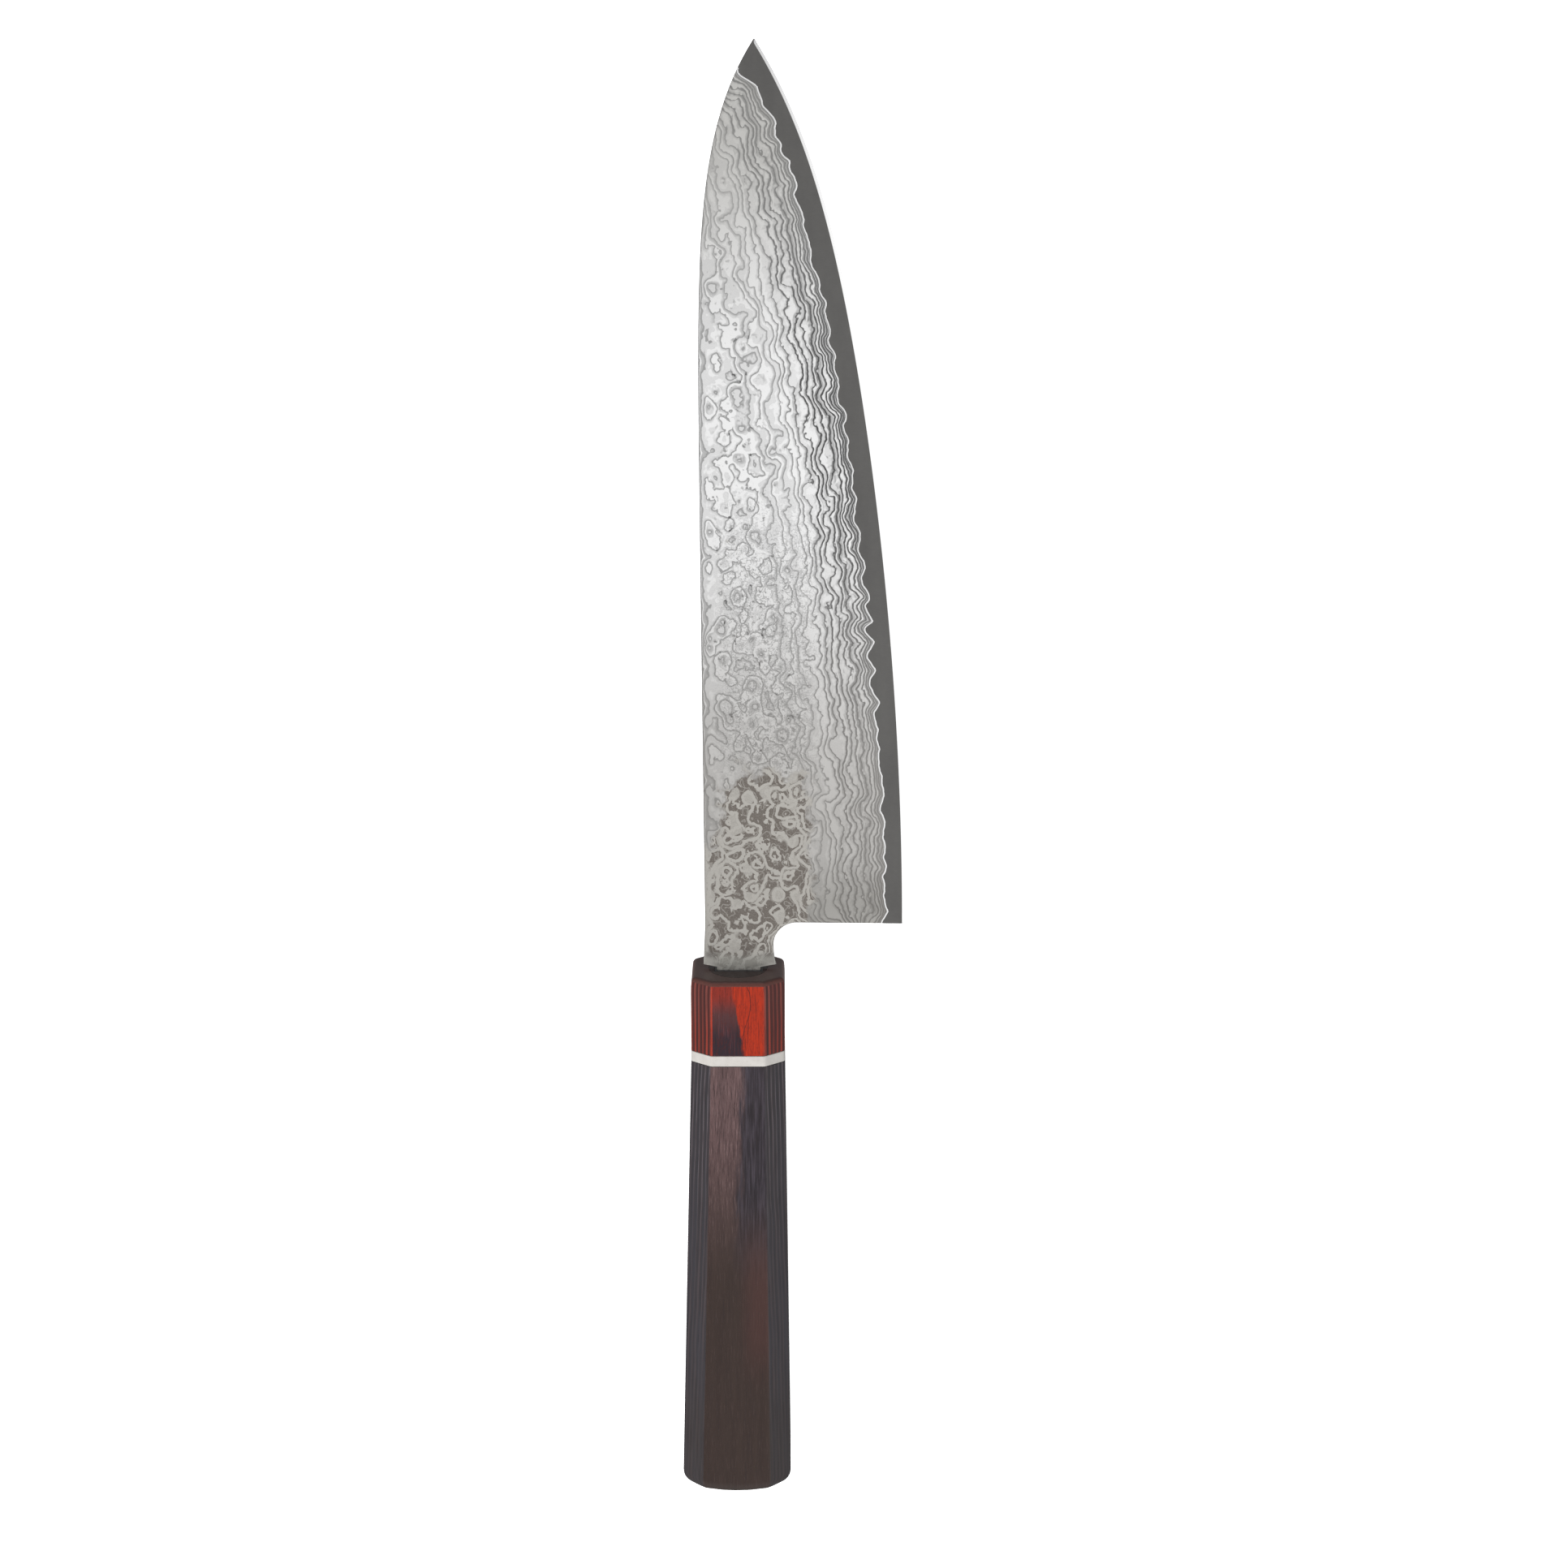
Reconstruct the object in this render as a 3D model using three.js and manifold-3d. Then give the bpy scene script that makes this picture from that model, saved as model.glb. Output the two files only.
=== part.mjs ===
// Chef knife: a san-mai gyuto blade with a hidden tang in an octagonal laminated-wood handle.
// Millimetres. The knife lies on its side with the blade level: X runs from the spine to the
// cutting edge, Y from the butt to the tip, and Z is up. The pieces are drawn round the tang's
// axis with Y = 0 near the handle's front face, and the group then moves the origin to the middle
// of the whole knife's underside.
import * as THREE from 'three';
import { mergeVertices } from 'three/addons/utils/BufferGeometryUtils.js';
import Module from 'manifold-3d';

const wasm = await Module();
wasm.setup();

// Blade outline
const EDGE_LENGTH = 206; // tip to heel, along Y
const HEEL_Y = 11.3;
const HEEL_X = 40;
const TIP_X = 4.46;
const TIP_BLUNTING = 0.0008; // share of the edge length left off at the needle-sharp end
const SPINE_X = -7.85; // spine above the heel
const SPINE_RISE = 1.1; // how far the spine leans out towards the tip before it drops
const SPINE_DROP_POWER = 10.3;
const CHOIL_RADIUS = 5.5;
const CHOIL_SLOPE = 0.4; // the heel line climbs this much from the heel to the fillet
const NECK_EDGE_X = 8.5;
const SHOULDER_SPINE_X = -8.3;
const SHOULDER_EDGE_X = 9.2;
const SHOULDER_Y = 0.95;
const STATION_FAN = 18; // lead of the spine end of a cross section over its edge end, at the heel
const FILLET_SPINE_Y = 17; // spine end of the section where the choil fillet starts
const NECK_SPINE_Y = 7; // spine end of the section where the fillet meets the neck
const NECK_FLARE = [[4, 3.6, 0.1], [2, 1.9, 0.4]]; // spine height, edge height, edge beyond the neck
const EDGE_CURVE = [[0.06, 1], [0.68, 2], [0.26, 9]]; // share of the edge's whole drop, power
const EDGE_SECTIONS = 96;
const HEEL_SECTIONS = 8;
const FILLET_SECTIONS = 8;
const TANG_SECTIONS = 6;

// Blade section (half thicknesses, measured from the middle plane)
const SPINE_HALF = 1.05;
const TIP_SPINE_HALF = 0.2;
const DISTAL_POWER = 2.2;
const BEHIND_EDGE_HALF = 0.12;
const CUTTING_EDGE_HALF = 0.02;
const BEVEL_WIDTH = 0.7;
const GRIND_POWER = 0.8; // below 1: a convex grind
const NECK_LEVEL_Y = 2; // below this the blade is as thick as the tang
const NECK_BLEND_Y = 15.3; // above this the blade has its full grind
const CORE_HALF = 0.3;
const CLAD_STEP = 0.1; // least thickness of the cladding where it runs out on the core
const WELD_GAP = 0.02;
const COVERED_COLUMNS = [0.7, 0.9]; // shares across the core's section where claddings cover it
const LEAST_COLUMN = 0.05;
const CORE_STRIP = 5.2; // bare core between the cladding and the cutting edge
const CLAD_TURN_START = 0.95; // share of the edge length where the cladding line turns to the spine
const CLAD_TURN_END = 0.969;
const CLAD_END_WIDTH = 0.3; // cladding left between the spine and its run-out near the tip
const CLAD_WAVE = 0.45;
const CLAD_WAVE_PITCH = 12.9;

// Tang
const TANG_END_Y = -92;
const TANG_SPINE_X = -5.1;
const TANG_EDGE_X = 5.4;
const TANG_ROOT_Y = 0.5;
const TANG_HALF = 0.95;
const TANG_TAPER = 0.62; // width and thickness left at the tang's end

// Handle: half sizes of the octagon at the ferrule and at the butt
const FERRULE_OCTAGON = { x: 11.25, z: 10.4, cutX: 4.8, cutZ: 3.6 };
const BUTT_OCTAGON = { x: 13.6, z: 12.2, cutX: 5.1, cutZ: 4 };
const HANDLE_FRONT_Y = 0;
const HANDLE_BUTT_Y = -137.4;
const BUTT_SKEW = -0.75; // the grip leans towards the spine side at the butt
const FERRULE_LENGTH = 18.75;
const SPACER_LENGTH = 2.6;
const JOINT_GAP = 0.1;
const FRONT_EASE = [[0, 1], [0.26, 0.45], [0.9, 0]]; // inset from the octagon, distance behind the face
const FRONT_NARROWING = 0.05; // share of its width that the front face loses, shoulder to shoulder
const FRONT_SHOULDER = 4; // the width is full again this far behind the face
const FERRULE_SIDES = [2.2, FRONT_SHOULDER]; // further sections, by distance behind the face
const BUTT_EASE = [[0, 3.2], [0.5, 1.3], [1.5, 0.35], [2.6, 0]];
const BUTT_DOME = 0.012; // how much the butt falls away, per square millimetre from its centre
const BUTT_FLAT = { inset: 6, back: 0.55 };

// Dowel and seal
const DOWEL_RADIUS = 7;
const DOWEL_LENGTH = 100;
const DOWEL_SIDES = 48;
const BORE_CLEARANCE = 0.1;
const SLOT_CLEARANCE = { x: 0.6, z: 1.9 }; // room for filler round the tang
const SEAL_CLEARANCE = 0.05;
const SEAL_RECESS = 0.35;
const SEAL_DEPTH = 4;
const BORE_END_GAP = 1;

// Where the pieces of the handle meet
const FERRULE_BACK_Y = HANDLE_FRONT_Y - FERRULE_LENGTH;
const SPACER_FRONT_Y = FERRULE_BACK_Y - JOINT_GAP;
const SPACER_BACK_Y = SPACER_FRONT_Y - SPACER_LENGTH;
const BODY_FRONT_Y = SPACER_BACK_Y - JOINT_GAP;
const DOWEL_END_Y = HANDLE_FRONT_Y - DOWEL_LENGTH;

const { clamp, lerp, smoothstep } = THREE.MathUtils;

// ---- outlines, by share s of the edge length: 0 at the heel, 1 at the tip ----

const shareAt = (y) => clamp((y - HEEL_Y) / EDGE_LENGTH, 0, 1);
const heightAt = (s) => HEEL_Y + s * EDGE_LENGTH;

function edgeX(s) {
  const drop = EDGE_CURVE.reduce((sum, [share, power]) => sum + share * s ** power, 0);
  return HEEL_X - (HEEL_X - TIP_X) * drop;
}

function spineX(s) {
  const drop = TIP_X - SPINE_X + SPINE_RISE;
  return SPINE_X - SPINE_RISE * s + drop * s ** SPINE_DROP_POWER;
}

function claddingX(s) {
  const turn = smoothstep(s, CLAD_TURN_START, CLAD_TURN_END);
  const atSpine = edgeX(s) - spineX(s) - CLAD_END_WIDTH;
  const wave = CLAD_WAVE * Math.sin((2 * Math.PI * heightAt(s)) / CLAD_WAVE_PITCH);
  return edgeX(s) - lerp(CORE_STRIP + wave, atSpine, turn);
}

// ---- blade thickness ----

const coreHalf = (s) => CORE_HALF * (1 - 0.5 * s ** 3);
const spineHalf = (s) => TIP_SPINE_HALF + (SPINE_HALF - TIP_SPINE_HALF) * (1 - s ** DISTAL_POWER);

function tangHalf(y) {
  return TANG_HALF * lerp(1, TANG_TAPER, clamp(y / TANG_END_Y, 0, 1));
}

function bladeHalf(x, y) {
  if (y < TANG_ROOT_Y) return tangHalf(y);
  const s = shareAt(y);
  const reach = Math.max(edgeX(s) - x, 0);
  if (reach < BEVEL_WIDTH) return lerp(CUTTING_EDGE_HALF, BEHIND_EDGE_HALF, reach / BEVEL_WIDTH);
  const across = Math.min(reach / (edgeX(s) - spineX(s)), 1);
  const wedge = lerp(BEHIND_EDGE_HALF, spineHalf(s), across ** GRIND_POWER);
  const neck = 1 - smoothstep(y, NECK_LEVEL_Y, NECK_BLEND_Y);
  return lerp(wedge, TANG_HALF, neck);
}

// ---- cross sections: pairs of points, spine side and edge side, from the tip to the tang's end ----

// The stretch that the core and the claddings share: heel line, choil fillet, neck and tang.
function lowerSections(firstX) {
  const pairs = [];
  const filletX = NECK_EDGE_X + CHOIL_RADIUS;
  const filletY = HEEL_Y + CHOIL_SLOPE - CHOIL_RADIUS;
  const spineFrom = HEEL_Y + STATION_FAN;
  for (let i = 0; i <= HEEL_SECTIONS; i++) {
    const part = i / HEEL_SECTIONS;
    const y = HEEL_Y + CHOIL_SLOPE * part;
    pairs.push([lerp(spineFrom, FILLET_SPINE_Y, part), lerp(firstX, filletX, part), y]);
  }
  for (let i = 1; i <= FILLET_SECTIONS; i++) {
    const part = i / FILLET_SECTIONS;
    const angle = (Math.PI / 2) * part;
    const x = filletX - CHOIL_RADIUS * Math.sin(angle);
    const y = filletY + CHOIL_RADIUS * Math.cos(angle);
    pairs.push([lerp(FILLET_SPINE_Y, NECK_SPINE_Y, part), x, y]);
  }
  for (const [spineY, y, flare] of NECK_FLARE) pairs.push([spineY, NECK_EDGE_X + flare, y]);
  pairs.push([SHOULDER_Y, SHOULDER_EDGE_X, SHOULDER_Y]);
  const sections = pairs.map(([spineY, x, y]) => [spinePoint(spineY), new THREE.Vector2(x, y)]);
  for (let i = 0; i <= TANG_SECTIONS; i++) {
    const y = lerp(TANG_ROOT_Y, TANG_END_Y, i / TANG_SECTIONS);
    const narrow = lerp(1, TANG_TAPER, i / TANG_SECTIONS);
    const spine = new THREE.Vector2(TANG_SPINE_X * narrow, y);
    sections.push([spine, new THREE.Vector2(TANG_EDGE_X * narrow, y)]);
  }
  return sections;
}

// The spine keeps its own line above the heel and flares a little to the shoulder below it.
function spinePoint(y) {
  if (y >= HEEL_Y) return new THREE.Vector2(spineX(shareAt(y)), y);
  const flare = 1 - clamp((y - SHOULDER_Y) / (HEEL_Y - SHOULDER_Y), 0, 1);
  return new THREE.Vector2(lerp(SPINE_X, SHOULDER_SPINE_X, flare), y);
}

// The stretch along the cutting edge, from share `from` down to the heel.
function edgeSections(from, outlineX) {
  const pairs = [];
  for (let i = 0; i < EDGE_SECTIONS; i++) {
    const s = from * (1 - i / EDGE_SECTIONS);
    const lead = STATION_FAN * (1 - s) ** 3;
    const spine = spinePoint(Math.min(heightAt(s) + lead, heightAt(from)));
    pairs.push([spine, new THREE.Vector2(outlineX(s), heightAt(s))]);
  }
  return pairs;
}

// ---- solids ----

function outward(positions, indices) {
  const geometry = new THREE.BufferGeometry();
  geometry.setAttribute('position', new THREE.Float32BufferAttribute(positions, 3));
  let volume = 0;
  const at = (i) => new THREE.Vector3().fromArray(positions, 3 * i);
  for (let i = 0; i < indices.length; i += 3) {
    volume += at(indices[i]).dot(at(indices[i + 1]).cross(at(indices[i + 2])));
  }
  geometry.setIndex(volume > 0 ? indices : indices.toReversed());
  geometry.computeVertexNormals();
  return geometry;
}

// Joins closed rings of Vector3, all of one length, into a skin and caps its two ends.
function loft(rings) {
  const count = rings[0].length;
  const positions = rings.flat().flatMap((p) => [p.x, p.y, p.z]);
  const indices = [];
  for (let r = 0; r < rings.length - 1; r++) {
    for (let k = 0; k < count; k++) {
      const a = r * count + k;
      const b = r * count + ((k + 1) % count);
      indices.push(a, b, b + count, a, b + count, a + count);
    }
  }
  const flat = (ring) => ring.map((p) => new THREE.Vector2(p.x, p.z));
  const first = THREE.ShapeUtils.triangulateShape(flat(rings[0]), []);
  const last = THREE.ShapeUtils.triangulateShape(flat(rings[rings.length - 1]), []);
  const turned = THREE.ShapeUtils.isClockWise(flat(rings[0]));
  const lastStart = (rings.length - 1) * count;
  for (const [a, b, c] of first) indices.push(...(turned ? [a, b, c] : [c, b, a]));
  for (const face of last) {
    const [a, b, c] = face.map((i) => i + lastStart);
    indices.push(...(turned ? [c, b, a] : [a, b, c]));
  }
  return outward(positions, indices);
}

function toManifold(geometry) {
  const bare = geometry.clone();
  bare.deleteAttribute('normal');
  bare.deleteAttribute('uv');
  const merged = mergeVertices(bare, 1e-5);
  const vertProperties = new Float32Array(merged.attributes.position.array);
  const triVerts = new Uint32Array(merged.index.array);
  return new wasm.Manifold(new wasm.Mesh({ numProp: 3, vertProperties, triVerts }));
}

function cut(geometry, tool) {
  const mesh = toManifold(geometry).subtract(toManifold(tool)).getMesh();
  const result = new THREE.BufferGeometry();
  result.setAttribute('position', new THREE.Float32BufferAttribute(mesh.vertProperties, 3));
  result.setIndex([...mesh.triVerts]);
  result.computeVertexNormals();
  return result;
}

const along = (pair, f) => pair[0].clone().lerp(pair[1], f);
const shareAcross = (pair, x) => (x - pair[0].x) / (pair[1].x - pair[0].x);

// A closed cross section of the core: flat under the claddings, full wedge on the bare strip.
// Its two inner columns are the cladding's run-out and the top of the bevel.
function coreRing(pair) {
  const [spine, edge] = pair;
  const bareFrom = claddingX(shareAt(edge.y));
  const isBare = edge.y >= HEEL_Y && edge.x > bareFrom + BEVEL_WIDTH;
  let [runOut, bevel] = COVERED_COLUMNS;
  if (isBare) {
    runOut = Math.max(shareAcross(pair, bareFrom), LEAST_COLUMN);
    bevel = Math.max(1 - BEVEL_WIDTH / (edge.x - spine.x), runOut + LEAST_COLUMN);
  }
  const points = [0, runOut, bevel, 1].map((share) => along(pair, share));
  const half = (p) => Math.min(coreHalf(shareAt(p.y)), bladeHalf(p.x, p.y));
  const top = points.map((p) => new THREE.Vector3(p.x, p.y, half(p)));
  const bottom = points.map((p) => new THREE.Vector3(p.x, p.y, -half(p))).reverse();
  return [...top, ...bottom];
}

// A closed cross section of one cladding: flat on the core, ground on the outside.
function claddingRing(pair, side) {
  const inner = (p) => coreHalf(shareAt(p.y)) + WELD_GAP;
  const outer = (p) => Math.max(bladeHalf(p.x, p.y), inner(p) + CLAD_STEP);
  const outside = [0, 0.25, 0.5, 0.75, 1].map((f) => along(pair, f));
  const inside = [1, 0].map((f) => along(pair, f));
  return [
    ...outside.map((p) => new THREE.Vector3(p.x, p.y, side * outer(p))),
    ...inside.map((p) => new THREE.Vector3(p.x, p.y, side * inner(p))),
  ];
}

function bladeCore() {
  const upper = edgeSections(1 - TIP_BLUNTING, edgeX);
  return loft([...upper, ...lowerSections(HEEL_X)].map(coreRing));
}

function cladding(side) {
  const upper = edgeSections(CLAD_TURN_END, claddingX);
  const lower = lowerSections(claddingX(0));
  return loft([...upper, ...lower].map((pair) => claddingRing(pair, side)));
}

// The octagon of the handle at a height, moved in by `inset` on every facet.
function octagon(y, inset) {
  const part = clamp((FERRULE_BACK_Y - y) / (FERRULE_BACK_Y - HANDLE_BUTT_Y), 0, 1);
  const size = (key) => lerp(FERRULE_OCTAGON[key], BUTT_OCTAGON[key], part);
  const halfX = size('x') - inset;
  const halfZ = size('z') - inset;
  const slant = Math.hypot(size('cutX'), size('cutZ'));
  const facet = size('cutZ') * size('x') + size('cutX') * (size('z') - size('cutZ')) - inset * slant;
  const cornerX = (facet - size('cutX') * halfZ) / size('cutZ');
  const cornerZ = (facet - size('cutZ') * halfX) / size('cutX');
  const quarter = [[halfX, cornerZ], [cornerX, halfZ]];
  const half = [...quarter, ...quarter.map(([x, z]) => [-x, z]).reverse()];
  const whole = [...half, ...half.map(([x, z]) => [x, -z]).reverse()];
  return whole.map(([x, z]) => new THREE.Vector3(x * shoulder(y) + BUTT_SKEW * part, y, z));
}

// The handle's width, as a share, where its sides round in to the front face.
function shoulder(y) {
  const ahead = clamp(1 - (HANDLE_FRONT_Y - y) / FRONT_SHOULDER, 0, 1);
  return 1 - FRONT_NARROWING * (1 - Math.sqrt(1 - ahead ** 2));
}

function dowelBore(fromY, toY) {
  const radius = DOWEL_RADIUS + BORE_CLEARANCE;
  const bore = new THREE.CylinderGeometry(radius, radius, fromY - toY, DOWEL_SIDES);
  return bore.translate(0, (fromY + toY) / 2, 0);
}

function ferrule() {
  const eased = FRONT_EASE.map(([inset, back]) => octagon(HANDLE_FRONT_Y - back, inset)).reverse();
  const sides = FERRULE_SIDES.map((back) => octagon(HANDLE_FRONT_Y - back, 0));
  const blank = loft([...eased, ...sides, octagon(FERRULE_BACK_Y, 0)]);
  return cut(blank, dowelBore(HANDLE_FRONT_Y + 1, FERRULE_BACK_Y - 1));
}

function spacerRing() {
  const blank = loft([octagon(SPACER_FRONT_Y, 0), octagon(SPACER_BACK_Y, 0)]);
  return cut(blank, dowelBore(SPACER_FRONT_Y + 1, SPACER_BACK_Y - 1));
}

function handleBody() {
  const domed = (p) => p.y + BUTT_DOME * ((p.x - BUTT_SKEW) ** 2 + p.z ** 2);
  const eased = BUTT_EASE.map(([inset, back]) => {
    const ring = octagon(HANDLE_BUTT_Y + back, inset);
    return ring.map((p, corner) => octagon(domed(p), inset)[corner]);
  });
  const flat = octagon(HANDLE_BUTT_Y + BUTT_FLAT.back, BUTT_FLAT.inset);
  const blank = loft([octagon(BODY_FRONT_Y, 0), ...eased, flat]);
  return cut(blank, dowelBore(BODY_FRONT_Y + 1, DOWEL_END_Y - BORE_END_GAP));
}

// A rectangle in XZ round the tang's section at the mouth, grown by a clearance along each axis.
function tangWindow(clearX, clearZ) {
  const path = new THREE.Path();
  const left = TANG_SPINE_X - clearX;
  const right = TANG_EDGE_X + clearX;
  const half = TANG_HALF + clearZ;
  path.moveTo(left, -half);
  path.lineTo(right, -half);
  path.lineTo(right, half);
  path.lineTo(left, half);
  path.closePath();
  return path;
}

// Extrudes a shape drawn in XZ along -Y from `fromY`.
function extrudeBack(shape, fromY, depth) {
  const solid = new THREE.ExtrudeGeometry(shape, { depth, bevelEnabled: false });
  return solid.rotateX(Math.PI / 2).translate(0, fromY, 0);
}

function tangDowel() {
  const disc = new THREE.Shape();
  for (let i = 0; i < DOWEL_SIDES; i++) {
    const angle = (2 * Math.PI * i) / DOWEL_SIDES;
    const point = [DOWEL_RADIUS * Math.sin(angle), DOWEL_RADIUS * Math.cos(angle)];
    if (i === 0) disc.moveTo(...point);
    else disc.lineTo(...point);
  }
  disc.closePath();
  disc.holes.push(tangWindow(SLOT_CLEARANCE.x, SLOT_CLEARANCE.z));
  return extrudeBack(disc, HANDLE_FRONT_Y, DOWEL_LENGTH);
}

function tangSeal() {
  const outline = tangWindow(SLOT_CLEARANCE.x - SEAL_CLEARANCE, SLOT_CLEARANCE.z - SEAL_CLEARANCE);
  const frame = new THREE.Shape(outline.getPoints());
  frame.holes.push(tangWindow(SEAL_CLEARANCE, SEAL_CLEARANCE));
  return extrudeBack(frame, HANDLE_FRONT_Y - SEAL_RECESS, SEAL_DEPTH);
}

// ---- assembly ----

function finish(color, roughness, metalness) {
  return new THREE.MeshStandardMaterial({ color, roughness, metalness });
}

const coreSteel = finish(0x5f605c, 0.42, 1);
const patternedSteel = finish(0xa5a5a2, 0.38, 1);
const redLaminate = finish(0x8a2b1c, 0.35, 0);
const whiteSpacer = finish(0xe2e1db, 0.4, 0);
const darkLaminate = finish(0x43352f, 0.4, 0);
const paleWood = finish(0x6a4a38, 0.7, 0);
const blackFiller = finish(0x161616, 0.5, 0);

const pieces = [
  ['blade_core', bladeCore(), coreSteel],
  ['cladding_left', cladding(1), patternedSteel],
  ['cladding_right', cladding(-1), patternedSteel],
  ['ferrule', ferrule(), redLaminate],
  ['spacer_ring', spacerRing(), whiteSpacer],
  ['handle_body', handleBody(), darkLaminate],
  ['tang_dowel', tangDowel(), paleWood],
  ['tang_seal', tangSeal(), blackFiller],
];

const knife = new THREE.Group();
for (const [name, geometry, material] of pieces) {
  const mesh = new THREE.Mesh(geometry, material);
  mesh.name = name;
  knife.add(mesh);
}

// The origin goes to the middle of the bounding box's underside.
const bounds = new THREE.Box3().setFromObject(knife);
const middle = bounds.getCenter(new THREE.Vector3());
knife.position.set(-middle.x, -middle.y, -bounds.min.z);

export default knife;
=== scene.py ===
"""Looks for the chef knife: a layered-steel gyuto blade in an octagonal laminated-wood handle.

Lengths are drawn in millimetres in the knife's own frame, as in the CAD: Y = 0 just behind the
handle's front face, X = 0 on the tang's axis and Z = 0 in the middle plane of the blade.
"""
import math

import bpy
import bmesh
import numpy as np
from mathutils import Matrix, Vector


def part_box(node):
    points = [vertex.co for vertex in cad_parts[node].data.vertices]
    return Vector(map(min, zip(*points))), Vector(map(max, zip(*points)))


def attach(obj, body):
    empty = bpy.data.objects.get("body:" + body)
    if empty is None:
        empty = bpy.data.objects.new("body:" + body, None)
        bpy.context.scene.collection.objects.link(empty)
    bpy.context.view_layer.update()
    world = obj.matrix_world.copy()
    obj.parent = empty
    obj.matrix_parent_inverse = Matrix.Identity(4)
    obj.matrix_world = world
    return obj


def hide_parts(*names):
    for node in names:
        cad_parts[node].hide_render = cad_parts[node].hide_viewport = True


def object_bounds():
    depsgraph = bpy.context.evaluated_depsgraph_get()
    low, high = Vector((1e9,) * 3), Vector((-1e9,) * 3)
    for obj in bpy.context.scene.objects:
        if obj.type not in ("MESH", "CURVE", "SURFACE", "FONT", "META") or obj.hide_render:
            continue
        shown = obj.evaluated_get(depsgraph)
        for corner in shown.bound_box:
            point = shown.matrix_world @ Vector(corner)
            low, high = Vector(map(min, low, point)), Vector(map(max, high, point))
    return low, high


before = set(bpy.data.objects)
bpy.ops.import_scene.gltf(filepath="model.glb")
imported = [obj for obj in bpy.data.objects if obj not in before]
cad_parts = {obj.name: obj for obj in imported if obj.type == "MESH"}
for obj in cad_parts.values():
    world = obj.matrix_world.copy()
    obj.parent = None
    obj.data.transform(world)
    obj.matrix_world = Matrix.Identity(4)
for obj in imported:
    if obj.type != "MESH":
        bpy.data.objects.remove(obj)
cad_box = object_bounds()

MM = 0.001

# ---- the CAD's numbers that the looks repeat, in millimetres ----
EDGE_LENGTH = 206.0
HEEL_Y = 11.3
HEEL_X = 40.0
TIP_X = 4.46
EDGE_CURVE = ((0.06, 1), (0.68, 2), (0.26, 9))  # share of the edge's whole drop, power
TIP_BLUNTING = 0.0008
SPINE_X = -7.85
SPINE_RISE = 1.1
SPINE_DROP_POWER = 10.3
CHOIL_RADIUS = 5.5
CHOIL_SLOPE = 0.4
NECK_EDGE_X = 8.5
SHOULDER_SPINE_X = -8.3
SHOULDER_EDGE_X = 9.2
SHOULDER_Y = 0.95
STATION_FAN = 18.0
SPINE_HALF = 1.05
TIP_SPINE_HALF = 0.2
DISTAL_POWER = 2.2
BEHIND_EDGE_HALF = 0.12
CUTTING_EDGE_HALF = 0.02
BEVEL_WIDTH = 0.7
GRIND_POWER = 0.8
CORE_HALF = 0.3
WELD_GAP = 0.02
CLAD_TURN_START = 0.95
CLAD_TURN_END = 0.969
TANG_END_Y = -92.0
TANG_SPINE_X = -5.1
TANG_EDGE_X = 5.4
TANG_ROOT_Y = 0.5
TANG_HALF = 0.95
TANG_TAPER = 0.62
FERRULE_OCTAGON = {"x": 11.25, "z": 10.4, "cut_x": 4.8, "cut_z": 3.6}
BUTT_OCTAGON = {"x": 13.6, "z": 12.2, "cut_x": 5.1, "cut_z": 4.0}
HANDLE_FRONT_Y = 0.0
HANDLE_BUTT_Y = -137.4
BUTT_SKEW = -0.75
FERRULE_LENGTH = 18.75
FRONT_NARROWING = 0.05
FRONT_SHOULDER = 4.0
SPACER_LENGTH = 2.6
JOINT_GAP = 0.1
BUTT_DOME = 0.012  # the butt curves forward by this times the squared distance from its middle
BUTT_FLAT_BACK = 0.55  # its flat middle lies this far in front of HANDLE_BUTT_Y
DOWEL_RADIUS = 7.0
DOWEL_LENGTH = 100.0
BORE_CLEARANCE = 0.1
BORE_END_GAP = 1.0

FERRULE_BACK_Y = HANDLE_FRONT_Y - FERRULE_LENGTH
SPACER_FRONT_Y = FERRULE_BACK_Y - JOINT_GAP
SPACER_BACK_Y = SPACER_FRONT_Y - SPACER_LENGTH
BODY_FRONT_Y = SPACER_BACK_Y - JOINT_GAP
BORE_END_Y = HANDLE_FRONT_Y - DOWEL_LENGTH - BORE_END_GAP

# Where the knife's frame sits in the row's frame, in metres.
ferrule_low, ferrule_high = (Vector(corner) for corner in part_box("ferrule"))
core_low, core_high = (Vector(corner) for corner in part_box("blade_core"))
ORIGIN = Vector((
    (ferrule_low.x + ferrule_high.x) / 2,
    ferrule_high.y - HANDLE_FRONT_Y * MM,
    (core_low.z + core_high.z) / 2,
))


def row(x, y, z=0.0):
    """A point of the knife's frame in millimetres, as a point of the row frame in metres."""
    return ORIGIN + Vector((x, y, z)) * MM


def lerp(a, b, part):
    return a + (b - a) * part


def clamp(value, low=0.0, high=1.0):
    return min(max(value, low), high)


def smooth(value, start, end):
    """0 at start and 1 at end, with level ends; start may be above end."""
    part = clamp((value - start) / (end - start))
    return part * part * (3 - 2 * part)


def add_object(name, data):
    made = bpy.data.objects.new(name, data)
    bpy.context.collection.objects.link(made)
    return made


# ---- camera ----
CAMERA_DISTANCE = 700.0
CAMERA_TILT = math.radians(17.0)  # leans towards the tip
CAMERA_AIM = (11.0416, 46.1754)
LENS = 68.044
SENSOR = 36.0


def add_camera():
    data = bpy.data.cameras.new("camera")
    data.lens = LENS
    data.sensor_width = SENSOR
    data.clip_start = 0.01
    data.clip_end = 50.0
    camera = add_object("camera", data)
    back = CAMERA_DISTANCE * math.sin(CAMERA_TILT)
    up = CAMERA_DISTANCE * math.cos(CAMERA_TILT)
    camera.location = row(CAMERA_AIM[0], CAMERA_AIM[1] + back, up)
    camera.rotation_euler = (-CAMERA_TILT, 0.0, 0.0)
    bpy.context.scene.camera = camera


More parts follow.
